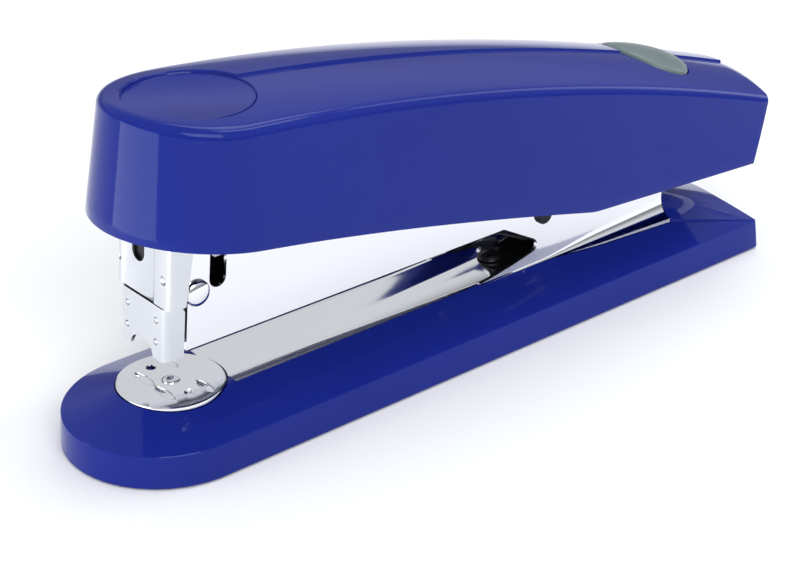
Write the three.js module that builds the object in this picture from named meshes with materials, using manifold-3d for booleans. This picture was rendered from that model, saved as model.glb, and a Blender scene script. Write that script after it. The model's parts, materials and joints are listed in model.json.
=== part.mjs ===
// Front-loading desk stapler for 24/6 staples, in millimetres, +Z up.
// The nose points along -X and the near side is -Y. The pieces are drawn with x = 0 at the front of the base,
// and the outer group moves them so that the origin is under the middle of the whole object.
import * as THREE from "three";
import { mergeVertices } from "three/addons/utils/BufferGeometryUtils.js";
import Module from "manifold-3d";

const wasm = await Module();
wasm.setup();

// ---------------------------------------------------------------- driving dimensions
const OVERALL_LENGTH = 199.1; // front of the base to the rearmost point of the cover
const GAP = 0.3; // clearance between pieces that touch in the real object
const RUN = 0.1; // radial clearance of a pin in its hole

// base
const BASE_LENGTH = 194.5;
const BASE_HALF = 23.04; // half width at the bottom
const BASE_RIDGE_Z = 8.07; // crisp line where the side wall meets the slope
const BASE_RIDGE_HALF = 22.5;
const BASE_TOP_Z = 12.9;
const BASE_TOP_HALF = 9.6;
const BASE_WALL = 2.2;
const FOOT_STAND = 0.4; // the rubber feet lift the sole off the table by this much
const SOLE_TOP_Z = 1.8;
const HUMP_X = 170; // front of the raised rear end
const REAR_RIDGE_X = BASE_LENGTH - 1; // the rear wall leans in by a millimetre up to the ridge
const REAR_TOP_X = BASE_LENGTH - 14.5;

// anvil
const ANVIL_X = 25;
const ANVIL_RADIUS = 12.1;
const ANVIL_TOP_Z = 13;
const ANVIL_THICK = 1.2;

// channel plate with its two flanges
const PLATE_TOP_Z = 12.5;
const PLATE_THICK = 1;
const PLATE_HALF = 9.3;
const FLANGE_OUTER = 9.8;
const FLANGE_INNER = 8.85;
const FLANGE_TOP_Z = 31;

// pivots, x and z
const HINGE = { x: 127.3, z: 25.3, radius: 2.2 };
const HANDLE_PIVOT = { x: 146, z: 40, radius: 2.2 };

// arm
const ARM_HALF = 8.5;
const ARM_SHEET = 0.9;
const ARM_LOWER_Z = 24.3;
const NOSE_X = 19.23; // front face of the nose at height NOSE_LEVEL
const NOSE_LEVEL = 34.4;
const NOSE_LEAN = Math.tan(THREE.MathUtils.degToRad(5.2)); // forward for each millimetre down
const NOSE_SHEET = 0.9;
const NOSE_BOTTOM_Z = 23;
const NOSE_SPLIT_Z = 35.2; // between the moving plate below and the fixed guide above
const GUIDE_HALF = 10.2;
const GUIDE_TOP_Z = 57;

// magazine and staples
const STAPLE_HALF = 6.4; // 24/6 staple: 12.8 wide over its legs
const STAPLE_HEIGHT = 6.5;
const STAPLE_WIRE = 0.55;
const STRIP_LENGTH = 40;
const CHANNEL_HALF = 7.3;
const CHANNEL_SHEET = 0.6;
const CHANNEL_FLOOR_Z = 25.4;
const CHANNEL_WALL_Z = 34.4;
const CHANNEL_REAR_X = 138.5;
const LANE_FRONT = 1.2; // driver blade's front face behind the nose's front face
const BLADE_THICK = 0.8;
const BLADE_HALF = 6.35;
const BLADE_TIP_Z = 33.4;
const DRIVER_PIN_Z = 49;
const DRIVER_PIN_RADIUS = 1.8;

// cover
const COVER_HALF = 23.5; // half width at the lower edge
const COVER_TOP_HALF = 20.7; // half width at the upper edge
const COVER_NOSE_X = 34.5; // centre of the round front
const COVER_WALL = 2.4;
const COVER_EDGE = 1.2; // softening of the upper edge
const RIDGE_STEP = 0.9; // the far half of the top stands this much higher
const PAD = { x: 33.5, z: 76.6, radius: 13.9 };
const BUTTON = { x: 170.5, z: 53, halfX: 9.3, halfY: 13, tilt: THREE.MathUtils.degToRad(16) };
const FRAME_OUTER = 11.7;
const FRAME_SHEET = 1;

// ---------------------------------------------------------------- materials
const finish = (color, roughness, metalness) =>
  new THREE.MeshStandardMaterial({ color, roughness, metalness });
const BLUE = finish(0x2a3ca0, 0.18, 0);
const BUTTON_GREY = finish(0x7a8e8e, 0.35, 0);
const CHROME = finish(0xd9dce4, 0.12, 1);
const STEEL = finish(0xaeb2b8, 0.3, 1);
const DARK_STEEL = finish(0x2b2d30, 0.4, 1);
const RUBBER = finish(0x1c1d20, 0.85, 0);
const STAPLE_WIRE_FINISH = finish(0xc2c5ca, 0.28, 1);

// ---------------------------------------------------------------- helpers
// A closed three.js geometry as a solid that can be joined and cut.
function solid(geometry) {
  const plain = geometry.index ? geometry.toNonIndexed() : geometry.clone();
  plain.deleteAttribute("normal");
  plain.deleteAttribute("uv");
  const merged = mergeVertices(plain, 1e-3);
  const triVerts = new Uint32Array(merged.index.array);
  const build = () =>
    new wasm.Manifold(
      new wasm.Mesh({ numProp: 3, vertProperties: merged.attributes.position.array, triVerts }),
    );
  const made = build();
  if (made.volume() > 0) return made;
  for (let i = 0; i < triVerts.length; i += 3) {
    [triVerts[i + 1], triVerts[i + 2]] = [triVerts[i + 2], triVerts[i + 1]];
  }
  return build();
}

const part = new THREE.Group();
part.position.x = -OVERALL_LENGTH / 2;

// Adds one finished solid to the object as a named mesh.
function piece(name, shape, material) {
  const { vertProperties, triVerts } = shape.getMesh();
  const geometry = new THREE.BufferGeometry()
    .setAttribute("position", new THREE.BufferAttribute(vertProperties, 3))
    .setIndex(new THREE.BufferAttribute(triVerts, 1));
  geometry.computeVertexNormals();
  const mesh = new THREE.Mesh(geometry, material);
  mesh.name = name;
  part.add(mesh);
  return shape;
}

// Moves each vertex of a geometry with a function of its point.
function reshaped(geometry, move) {
  const position = geometry.getAttribute("position");
  const point = new THREE.Vector3();
  for (let i = 0; i < position.count; i += 1) {
    move(point.fromBufferAttribute(position, i));
    position.setXYZ(i, point.x, point.y, point.z);
  }
  return geometry;
}

const outline = (points) => new THREE.Shape(points.map(([a, b]) => new THREE.Vector2(a, b)));

// A plan outline (x, y) raised from z0 to z1.
function raised(shape, z0, z1, curveSegments = 6) {
  const options = { depth: z1 - z0, bevelEnabled: false, curveSegments };
  return new THREE.ExtrudeGeometry(shape, options).translate(0, 0, z0);
}

// A side outline (x, z) carried across from y0 to y1.
function across(shape, y0, y1, steps = 1) {
  const options = { depth: y1 - y0, steps, bevelEnabled: false, curveSegments: 6 };
  return new THREE.ExtrudeGeometry(shape, options).rotateX(Math.PI / 2).translate(0, y1, 0);
}

function box(x0, x1, y0, y1, z0, z1) {
  const geometry = new THREE.BoxGeometry(x1 - x0, y1 - y0, z1 - z0);
  return solid(geometry.translate((x0 + x1) / 2, (y0 + y1) / 2, (z0 + z1) / 2));
}

// A round bar standing along Z.
function post(x, y, radius, z0, z1, sides = 24) {
  const geometry = new THREE.CylinderGeometry(radius, radius, z1 - z0, sides);
  return solid(geometry.rotateX(Math.PI / 2).translate(x, y, (z0 + z1) / 2));
}

// A round bar lying along Y.
function bar(x, z, radius, y0, y1, sides = 24) {
  const geometry = new THREE.CylinderGeometry(radius, radius, y1 - y0, sides);
  return solid(geometry.translate(x, (y0 + y1) / 2, z));
}

// A turned piece about the Z axis from [radius, height] pairs.
function turned(points, sides = 32) {
  const profile = points.map(([r, z]) => new THREE.Vector2(r, z));
  return new THREE.LatheGeometry(profile, sides).rotateX(Math.PI / 2);
}

class Helix extends THREE.Curve {
  constructor(radius, turns, length) {
    super();
    Object.assign(this, { radius, turns, length });
  }
  getPoint(t, target = new THREE.Vector3()) {
    const angle = 2 * Math.PI * this.turns * t;
    const x = this.radius * Math.cos(angle);
    const y = this.radius * Math.sin(angle);
    return target.set(x, y, this.length * t);
  }
}

// A coil spring standing on the origin along Z; length is its overall length.
function coil(radius, wire, turns, length) {
  const section = new THREE.Shape().absarc(0, 0, wire / 2, 0, 2 * Math.PI, false);
  const options = {
    steps: Math.round(turns * 10),
    curveSegments: 3,
    bevelEnabled: false,
    extrudePath: new Helix(radius, turns, length - wire),
  };
  return new THREE.ExtrudeGeometry(section, options).translate(0, 0, wire / 2);
}

// A round-ended slot outline between two centres in the (x, z) plane.
function slotOutline(ax, az, bx, bz, radius) {
  const angle = Math.atan2(bz - az, bx - ax);
  const shape = new THREE.Shape();
  shape.absarc(ax, az, radius, angle + Math.PI / 2, angle + 1.5 * Math.PI, false);
  shape.absarc(bx, bz, radius, angle - Math.PI / 2, angle + Math.PI / 2, false);
  return shape;
}

// A thin bent strip seen from the side: the (x, z) points of its lower face and its thickness.
function strip(points, thick, halfWidth) {
  const upper = points.map(([x, z]) => [x, z + thick]).reverse();
  return solid(across(outline([...points, ...upper]), -halfWidth, halfWidth));
}

// Height at x of the parabola arc through from and to whose end tangents meet at via.
function arcHeight([x0, z0], [x1, z1], [x2, z2], x) {
  const a = x0 - 2 * x1 + x2;
  const b = 2 * (x1 - x0);
  const t = (-b + Math.sqrt(b * b - 4 * a * (x0 - x))) / (2 * a);
  return z0 * (1 - t) ** 2 + 2 * z1 * t * (1 - t) + z2 * t ** 2;
}

const range = (from, to, count) =>
  Array.from({ length: count + 1 }, (_, i) => from + ((to - from) * i) / count);

// A plan with a round front of the given centre and radius and a square rear end at rearX.
function stadiumPoints(centreX, radius, rearX, arcSteps, sideSteps) {
  const arc = range(Math.PI / 2, 1.5 * Math.PI, arcSteps).map((angle) => [
    centreX + radius * Math.cos(angle),
    radius * Math.sin(angle),
  ]);
  const side = range(centreX, rearX, sideSteps).slice(1);
  return [
    ...arc,
    ...side.map((x) => [x, -radius]),
    ...side.map((x) => [x, radius]).reverse(),
  ];
}

// ---------------------------------------------------------------- base
// Outer form of the base, smaller all round by inset: side wall, ridge line and slope up to the top.
function baseForm(inset, bottomZ) {
  const levels = [
    { z: bottomZ, front: BASE_HALF, half: BASE_HALF, noseX: BASE_HALF, rear: BASE_LENGTH },
    { z: BASE_RIDGE_Z, front: BASE_RIDGE_HALF, half: BASE_RIDGE_HALF, noseX: 23, rear: REAR_RIDGE_X },
    { z: BASE_TOP_Z, front: 12, half: BASE_TOP_HALF, noseX: ANVIL_X, rear: REAR_TOP_X },
  ];
  const points = stadiumPoints(0, 1, 1, 24, 2);
  const options = { depth: 2, steps: 2, bevelEnabled: false };
  const geometry = new THREE.ExtrudeGeometry(outline(points), options);
  return solid(
    reshaped(geometry, (p) => {
      const { z, front, half, noseX, rear } = levels[Math.round(p.z)];
      const reach = p.x < 0 ? front - inset : rear - noseX - inset;
      p.set(noseX + p.x * reach, p.y * (half - inset), p.z < 0.5 ? z : z - inset);
    }),
  );
}

// Plan of the channel plate, larger all round by grow. Its feet widen towards the rear.
function channelPlan(grow) {
  const side = [
    [36, PLATE_HALF],
    [106.6, PLATE_HALF],
    [107.5, FLANGE_OUTER],
    [129, 10.1],
    [146, 11.9],
    [HUMP_X - GAP, 13.3],
  ].map(([x, y]) => [x, y + grow]);
  side[0][0] -= grow;
  side[5][0] += grow;
  const plate = solid(
    raised(
      outline([...side.map(([x, y]) => [x, -y]), ...side.reverse()]),
      PLATE_TOP_Z - PLATE_THICK - grow,
      PLATE_TOP_Z + 8 * grow,
    ),
  );
  return plate.subtract(post(ANVIL_X, 0, ANVIL_RADIUS + 0.4 - grow, 5, 20, 48));
}

// The raised rear end: its section goes from a steep arch at the front to a shallow crown at the rear edge.
const humpSection = {
  front: [[13.3, 12.3], [10.5, 14.2], [9.2, 17.2], [8, 18.8], [5, 19.3], [0, 19.5]],
  rear: [[22.3, 8.2], [17.5, 9], [13, 9.6], [9, 10.1], [5, 10.6], [0, 10.9]],
};
function humpForm() {
  const half = humpSection.front.map(([y, z]) => [y, z]);
  const mirrored = half.slice(0, -1).reverse().map(([y, z]) => [-y, z]);
  const ring = [[13.3, 7], ...half, ...mirrored, [-13.3, 7]];
  const steps = 6;
  const options = { depth: 1, steps, bevelEnabled: false };
  const geometry = new THREE.ExtrudeGeometry(outline(ring), options);
  // the extrusion's own x, y and z are the width, the height and the way along the base
  reshaped(geometry, (p) => {
    const way = p.z;
    const index = half.findIndex(
      ([y, z]) => Math.abs(Math.abs(p.x) - y) < 1e-4 && Math.abs(p.y - z) < 1e-4,
    );
    const rear = index < 0 ? [22.3, 7] : humpSection.rear[index];
    const width = THREE.MathUtils.lerp(Math.abs(p.x), rear[0], way) * Math.sign(p.x);
    const height = index < 0 ? p.y : THREE.MathUtils.lerp(p.y, rear[1], way);
    p.set(THREE.MathUtils.lerp(HUMP_X, REAR_RIDGE_X, way), width, height);
  });
  return solid(geometry);
}

const channelCut = channelPlan(GAP);
const soleHalf = BASE_HALF - BASE_WALL - GAP;
let baseShell = baseForm(0, FOOT_STAND)
  .subtract(baseForm(BASE_WALL, -1))
  .add(humpForm())
  .subtract(post(ANVIL_X, 0, ANVIL_RADIUS + GAP, ANVIL_TOP_Z - ANVIL_THICK - GAP, 20, 48))
  .subtract(channelCut);
// two bosses under the channel plate take its screws, and one under the anvil takes its rivet
const CHANNEL_SCREWS = [
  ["front", 119],
  ["rear", 160],
];
const bossTop = PLATE_TOP_Z - PLATE_THICK - GAP;
const ANVIL_HOLE = 1.9;
baseShell = baseShell
  .add(post(CHANNEL_SCREWS[0][1], 0, 4, 4, bossTop))
  .add(post(CHANNEL_SCREWS[1][1], 0, 4, 4, bossTop))
  .subtract(post(ANVIL_X, 0, ANVIL_HOLE, 0, 20));
for (const [, x] of CHANNEL_SCREWS) baseShell = baseShell.subtract(post(x, 0, 1.5 + GAP, 3, 20));
piece("base_shell", baseShell, BLUE);

// closing plate, let into the underside of the shell
const solePlan = outline(
  stadiumPoints(BASE_HALF, soleHalf, BASE_LENGTH - BASE_WALL - 2 * GAP, 20, 1),
);
const FEET = [
  ["front", 14, 52],
  ["rear", 150, 184],
];
const FOOT_HALF = 15;
let sole = solid(raised(solePlan, FOOT_STAND, SOLE_TOP_Z));
for (const [, x0, x1] of FEET) {
  sole = sole.subtract(box(x0 - GAP, x1 + GAP, -FOOT_HALF - GAP, FOOT_HALF + GAP, -1, 1.1));
}
piece("base_sole", sole, BLUE);
for (const [end, x0, x1] of FEET) {
  piece(`foot_pad_${end}`, box(x0, x1, -FOOT_HALF, FOOT_HALF, 0, 0.8), RUBBER);
}

// ---------------------------------------------------------------- anvil
const anvilTop = ANVIL_TOP_Z;
const anvilBottom = ANVIL_TOP_Z - ANVIL_THICK;
const RIVET_HEAD = 1.85;
const GROOVE_DEEP = 0.45;
let anvil = solid(
  turned(
    [
      [0, anvilBottom],
      [ANVIL_RADIUS, anvilBottom],
      [ANVIL_RADIUS, anvilTop - 0.4],
      [ANVIL_RADIUS - 0.4, anvilTop],
      [0, anvilTop],
    ],
    48,
  ).translate(ANVIL_X, 0, 0),
).subtract(post(ANVIL_X, 0, RIVET_HEAD + 0.2, 5, 20));
// lens-shaped groove for one staple leg, cut by a lying ellipsoid
function groove(x, y) {
  const lens = new THREE.SphereGeometry(1, 12, 8).scale(0.8, 3.2, GROOVE_DEEP);
  return solid(lens.translate(x, y, anvilTop));
}
for (const side of [-1, 1]) {
  anvil = anvil
    .subtract(groove(ANVIL_X - 4.2, 4 * side)) // inward pair: legs fold towards each other
    .subtract(groove(ANVIL_X + 4.2, 7.3 * side)) // outward pair: legs splay apart for pinning
    .subtract(post(ANVIL_X, 7.2 * side, 1.1, 5, 20, 16));
}
piece("anvil_disc", anvil, CHROME);
piece(
  "anvil_rivet",
  solid(
    turned([
      [0, 7.2],
      [1.5, 7.2],
      [1.5, 11.2],
      [RIVET_HEAD, 11.6],
      [RIVET_HEAD, anvilTop + 0.1],
      [1.2, anvilTop + 0.25],
      [0, anvilTop - 0.2],
    ]).translate(ANVIL_X, 0, 0),
  ),
  CHROME,
);
piece(
  "anvil_washer",
  post(ANVIL_X, 0, 5, 7.6, 8.4).subtract(post(ANVIL_X, 0, 1.5 + GAP, 5, 10)),
  STEEL,
);

// ---------------------------------------------------------------- channel, its screws and the hinge rivets
// Side outline of a flange. Its front edge slopes back and down to a round notch above the plate's lip.
const flangeOutline = outline([
  [108, PLATE_TOP_Z - PLATE_THICK],
  [108, 13.2],
  [110.8, 13.5],
  [117.5, 14.6],
  [123.9, 16],
  [125.3, 16.8],
  [125.7, 18],
  [124.8, 19.5],
  [114.6, 25.1],
  [104.7, FLANGE_TOP_Z],
  [140, FLANGE_TOP_Z],
  [HUMP_X - GAP, 20],
  [HUMP_X - GAP, PLATE_TOP_Z - PLATE_THICK],
]);
let channel = channelPlan(0);
for (const side of [-1, 1]) {
  const [y0, y1] = [side * FLANGE_INNER, side * FLANGE_OUTER].sort((a, b) => a - b);
  channel = channel.add(solid(across(flangeOutline, y0, y1)));
}
channel = channel.subtract(bar(HINGE.x, HINGE.z, HINGE.radius + RUN, -20, 20, 32));
for (const [, x] of CHANNEL_SCREWS) channel = channel.subtract(post(x, 0, 1.5 + GAP, 5, 20));
piece("base_channel", channel, CHROME);
for (const [end, x] of CHANNEL_SCREWS) {
  const head = turned([
    [0, 5],
    [1.5, 5],
    [1.5, PLATE_TOP_Z + GAP],
    [3, PLATE_TOP_Z + GAP],
    [2.6, PLATE_TOP_Z + 1.3],
    [0, PLATE_TOP_Z + 1.6],
  ]);
  piece(`channel_screw_${end}`, solid(head.translate(x, 0, 0)), STEEL);
}

// short rivets, flush inside the arm so that the magazine passes between them
for (const [name, side] of [["left", 1], ["right", -1]]) {
  const profile = turned([
    [0, ARM_HALF - ARM_SHEET + 0.05],
    [HINGE.radius, ARM_HALF - ARM_SHEET + 0.05],
    [HINGE.radius, FLANGE_OUTER + GAP],
    [3, FLANGE_OUTER + GAP],
    [2.7, FLANGE_OUTER + 1],
    [0, FLANGE_OUTER + 1.2],
  ]);
  const rivet = profile.rotateX((-side * Math.PI) / 2).translate(HINGE.x, 0, HINGE.z);
  piece(`hinge_rivet_${name}`, solid(rivet), DARK_STEEL);
}

// leaf spring that lifts the arm: flat on the plate behind, pressing up under the arm in front
piece(
  "lift_spring",
  strip(
    [
      [152, PLATE_TOP_Z + GAP],
      [138, PLATE_TOP_Z + GAP],
      [133, PLATE_TOP_Z + 1.2],
      [117, 21.8],
      [113.5, 23.1],
      [111, 22.9],
    ],
    0.6,
    7,
  ),
  DARK_STEEL,
);

// ---------------------------------------------------------------- arm
const leanAt = (z) => (z - NOSE_LEVEL) * NOSE_LEAN;
const noseFront = (z) => NOSE_X + leanAt(z);
const driverPinX = 33.15 + (DRIVER_PIN_Z - 42) * NOSE_LEAN;
const armOutline = new THREE.Shape();
armOutline.moveTo(24.9 + leanAt(ARM_LOWER_Z), ARM_LOWER_Z);
armOutline.lineTo(118, ARM_LOWER_Z);
armOutline.lineTo(HINGE.x - 4.3, HINGE.z - 1.6);
armOutline.absarc(HINGE.x, HINGE.z, 4.6, Math.PI * 1.11, Math.PI * 1.75, false);
armOutline.lineTo(152, 33);
armOutline.lineTo(152, 44);
armOutline.lineTo(146, 46.5);
armOutline.lineTo(41, 54);
armOutline.lineTo(38, GUIDE_TOP_Z);
armOutline.lineTo(22.6 + leanAt(GUIDE_TOP_Z), GUIDE_TOP_Z);
armOutline.lineTo(22.6 + leanAt(NOSE_SPLIT_Z + 1), NOSE_SPLIT_Z + 1);
armOutline.lineTo(24.9 + leanAt(NOSE_SPLIT_Z + 1), NOSE_SPLIT_Z + 1);
const armInside = outline([
  [10, 10],
  [10, 70],
  [44, 70],
  [44, 52.8],
  [130, 46.6],
  [130, 60],
  [160, 60],
  [160, 35],
  [151, 35],
  [151, 10],
]);
let arm = solid(across(armOutline, -ARM_HALF, ARM_HALF)).subtract(
  solid(across(armInside, -ARM_HALF + ARM_SHEET, ARM_HALF - ARM_SHEET)),
);
const LIP_INNER = 6;
const lipTop = CHANNEL_FLOOR_Z - GAP;
for (const side of [-1, 1]) {
  const [y0, y1] = [side * LIP_INNER, side * (ARM_HALF - 0.2)].sort((a, b) => a - b);
  arm = arm.add(box(27, 117, y0, y1, ARM_LOWER_Z, lipTop));
}
const GUIDE_PINS = [
  ["front", 66, 41.5],
  ["rear", 112, 37.4],
];
const GUIDE_PIN_RADIUS = 1.5;
const slotBottomZ = 36.6 + 2.15;
const slotX = (z) => driverPinX + (z - DRIVER_PIN_Z) * NOSE_LEAN;
arm = arm
  .subtract(solid(across(slotOutline(slotX(slotBottomZ), slotBottomZ, slotX(53), 53, 2.15), -20, 20)))
  .subtract(bar(HINGE.x, HINGE.z, HINGE.radius + RUN, -20, 20, 32))
  .subtract(bar(HANDLE_PIVOT.x, HANDLE_PIVOT.z, HANDLE_PIVOT.radius + RUN, -20, 20, 32));
for (const [, x, z] of GUIDE_PINS) {
  arm = arm.subtract(bar(x, z, GUIDE_PIN_RADIUS + RUN, -20, 20));
}
const NOSE_RIVET = { x: 27.4, z: 37, radius: 3 };
arm = arm.subtract(bar(NOSE_RIVET.x, NOSE_RIVET.z, 1.5 + RUN, -20, 20));
piece("arm_housing", arm, CHROME);

// sheet folded round the front, open at the back: plan of the U at height NOSE_LEVEL
function foldedPlan(frontX, half, sheet, backX) {
  const bend = 1.5;
  const right = Math.PI / 2;
  const x = frontX + bend;
  const y = half - bend;
  const shape = new THREE.Shape();
  shape.moveTo(backX, half);
  shape.absarc(x, y, bend, right, 2 * right, false);
  shape.absarc(x, -y, bend, 2 * right, 3 * right, false);
  shape.lineTo(backX, -half);
  shape.lineTo(backX, sheet - half);
  shape.absarc(x, -y, bend - sheet, 3 * right, 2 * right, true);
  shape.absarc(x, y, bend - sheet, 2 * right, right, true);
  shape.lineTo(backX, half - sheet);
  return shape;
}
const leaning = (geometry) =>
  reshaped(geometry, (p) => {
    p.x += leanAt(p.z);
  });

// fixed guide at the top of the nose, with the oval window in its front wall
const guidePlan = foldedPlan(NOSE_X, GUIDE_HALF, NOSE_SHEET, 28);
const windowOval = new THREE.Shape();
windowOval.absarc(2.4, 44.9, 2.3, Math.PI, 2 * Math.PI, false);
windowOval.absarc(2.4, 50, 2.3, 0, Math.PI, false);
const windowCut = solid(
  new THREE.ExtrudeGeometry(windowOval, { depth: 8, bevelEnabled: false })
    .rotateX(Math.PI / 2)
    .rotateZ(Math.PI / 2)
    .translate(15, 0, 0),
);
// the rear edges of its sides slope back as they rise, clear of the big rivets
const guideRear = outline([
  [23.4, 35],
  [28.1, GUIDE_TOP_Z],
  [40, GUIDE_TOP_Z],
  [40, 35],
]);
const noseGuide = solid(leaning(raised(guidePlan, NOSE_SPLIT_Z + GAP, GUIDE_TOP_Z, 4)))
  .subtract(windowCut)
  .subtract(solid(across(guideRear, -12, 12)));
piece("nose_guide", noseGuide, CHROME);
for (const [name, side] of [["left", 1], ["right", -1]]) {
  const profile = turned(
    [
      [0, ARM_HALF - ARM_SHEET],
      [1.5, ARM_HALF - ARM_SHEET],
      [1.5, ARM_HALF + GAP],
      [NOSE_RIVET.radius, ARM_HALF + GAP],
      [NOSE_RIVET.radius - 0.3, ARM_HALF + 0.9],
      [NOSE_RIVET.radius - 1.2, ARM_HALF + 1.4],
      [0, ARM_HALF + 1.6],
    ],
    24,
  );
  const rivet = profile.rotateX((-side * Math.PI) / 2).translate(NOSE_RIVET.x, 0, NOSE_RIVET.z);
  piece(`nose_rivet_${name}`, solid(rivet), CHROME);
}

// pin with a head at each end, lying across the object
function headedPin(x, z, radius, reach, headRadius) {
  return bar(x, z, radius, -reach, reach, 32)
    .add(bar(x, z, headRadius, reach - 0.01, reach + 1))
    .add(bar(x, z, headRadius, -reach - 1, 0.01 - reach));
}
for (const [end, x, z] of GUIDE_PINS) {
  piece(`guide_pin_${end}`, headedPin(x, z, GUIDE_PIN_RADIUS, ARM_HALF + GAP, 2.3), STEEL);
}
const frameClear = FRAME_OUTER + GAP;
piece(
  "handle_pin",
  headedPin(HANDLE_PIVOT.x, HANDLE_PIVOT.z, HANDLE_PIVOT.radius, frameClear, 3.2),
  STEEL,
);

// ---------------------------------------------------------------- magazine
const nosePlan = foldedPlan(NOSE_X, ARM_HALF, NOSE_SHEET, 24.6);
const noseNotch = across(
  outline([[-4.2, 20], [-4.2, 23], [-3.2, 25.3], [-2.8, 25.7], [2.8, 25.7], [3.2, 25.3], [4.2, 23], [4.2, 20]]),
  -8,
  0,
).rotateZ(Math.PI / 2);
const nosePlate = solid(leaning(raised(nosePlan, NOSE_BOTTOM_Z, NOSE_SPLIT_Z, 4)))
  .subtract(solid(noseNotch.translate(14, 0, 0)));
piece("nose_plate", nosePlate, CHROME);

const stripFrontX = 21.6;
const floorTop = CHANNEL_FLOOR_Z + CHANNEL_SHEET;
const rodZ = 29.3;
const ROD_RADIUS = 1.2;
let magazine = box(20.7, CHANNEL_REAR_X, -CHANNEL_HALF, CHANNEL_HALF, CHANNEL_FLOOR_Z, CHANNEL_WALL_Z)
  .subtract(
    box(10, CHANNEL_REAR_X - 1.2, CHANNEL_SHEET - CHANNEL_HALF, CHANNEL_HALF - CHANNEL_SHEET, floorTop, 50),
  )
  .add(box(CHANNEL_REAR_X - 1.2, CHANNEL_REAR_X, -3, 3, CHANNEL_WALL_Z - 1, CHANNEL_WALL_Z + 0.9));
const rodHole = new THREE.CylinderGeometry(ROD_RADIUS + GAP, ROD_RADIUS + GAP, 10, 16);
magazine = magazine
  .subtract(solid(rodHole.rotateZ(Math.PI / 2).translate(CHANNEL_REAR_X, 0, rodZ)))
  .subtract(box(15, stripFrontX - 0.5, 0.6 - CHANNEL_HALF, CHANNEL_HALF - 0.6, 20, 50));
piece("magazine_channel", magazine, STEEL);

const stripZ = floorTop + GAP;
piece(
  "staple_strip",
  box(stripFrontX, stripFrontX + STRIP_LENGTH, -STAPLE_HALF, STAPLE_HALF, stripZ, stripZ + STAPLE_HEIGHT)
    .subtract(
      box(0, 90, STAPLE_WIRE - STAPLE_HALF, STAPLE_HALF - STAPLE_WIRE, 0, stripZ + STAPLE_HEIGHT - STAPLE_WIRE),
    ),
  STAPLE_WIRE_FINISH,
);
const rod = new THREE.CylinderGeometry(ROD_RADIUS, ROD_RADIUS, 117, 16);
piece("pusher_rod", solid(rod.rotateZ(Math.PI / 2).translate(23 + 58.5, 0, rodZ)), STEEL);

const pusherFrontX = stripFrontX + STRIP_LENGTH + GAP;
const PUSHER_LENGTH = 14;
const pusherBore = new THREE.CylinderGeometry(ROD_RADIUS + GAP, ROD_RADIUS + GAP, 60, 16);
piece(
  "pusher",
  box(pusherFrontX, pusherFrontX + PUSHER_LENGTH, -6.2, 6.2, stripZ, stripZ + STAPLE_HEIGHT)
    .subtract(solid(pusherBore.rotateZ(Math.PI / 2).translate(pusherFrontX, 0, rodZ))),
  DARK_STEEL,
);
const springFrom = pusherFrontX + PUSHER_LENGTH + GAP;
const springTo = CHANNEL_REAR_X - 1.2 - GAP;
piece(
  "pusher_spring",
  solid(coil(2.4, 0.6, 14, springTo - springFrom).rotateY(Math.PI / 2).translate(springFrom, 0, rodZ)),
  STEEL,
);
piece(
  "eject_spring",
  solid(
    coil(3.2, 0.7, 4, 150.6 - CHANNEL_REAR_X - 3 * GAP)
      .rotateY(Math.PI / 2)
      .translate(CHANNEL_REAR_X + 2 * GAP, 0, 31),
  ),
  STEEL,
);

// ---------------------------------------------------------------- driver
const bladePlan = outline([
  [NOSE_X + LANE_FRONT, -BLADE_HALF],
  [NOSE_X + LANE_FRONT + BLADE_THICK, -BLADE_HALF],
  [NOSE_X + LANE_FRONT + BLADE_THICK, BLADE_HALF],
  [NOSE_X + LANE_FRONT, BLADE_HALF],
]);
piece("driver_blade", solid(leaning(raised(bladePlan, BLADE_TIP_Z, 56))), DARK_STEEL);
const carrierFront = NOSE_X + LANE_FRONT + BLADE_THICK + GAP;
const carrierBlock = outline([
  [carrierFront, -7.2],
  [38, -7.2],
  [38, 7.2],
  [carrierFront, 7.2],
]);
const carrierHollow = outline([
  [carrierFront + 1.2, -6],
  [40, -6],
  [40, 6],
  [carrierFront + 1.2, 6],
]);
piece(
  "driver_carrier",
  solid(leaning(raised(carrierBlock, 45.6, 56)))
    .subtract(solid(leaning(raised(carrierHollow, 40, 60))))
    .subtract(bar(driverPinX, DRIVER_PIN_Z, DRIVER_PIN_RADIUS + RUN, -20, 20)),
  DARK_STEEL,
);
piece(
  "driver_pin",
  bar(driverPinX, DRIVER_PIN_Z, DRIVER_PIN_RADIUS, -FRAME_OUTER - 0.6, FRAME_OUTER + 0.6),
  STEEL,
);

// ---------------------------------------------------------------- cover
const coverEdgeZ = (x) => arcHeight([15.3, 76.9], [100, 73.6], [197, 40.8], x);
const KINK = { x: 131.1, z: 29.5 };
const coverLowerZ = (x) =>
  x < KINK.x
    ? arcHeight([11, 53.2], [56, 48.6], [KINK.x, KINK.z], x)
    : KINK.z - ((x - KINK.x) * 3.6) / 57.5;
const crownAt = (x) => 2 + 0.0137 * (x - 20);
const ridgeY = (x) => THREE.MathUtils.mapLinear(x, 47, 199, 2.4, -1.6);
const ridgeRamp = (x) => THREE.MathUtils.smoothstep(x, 16, 40);

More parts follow.
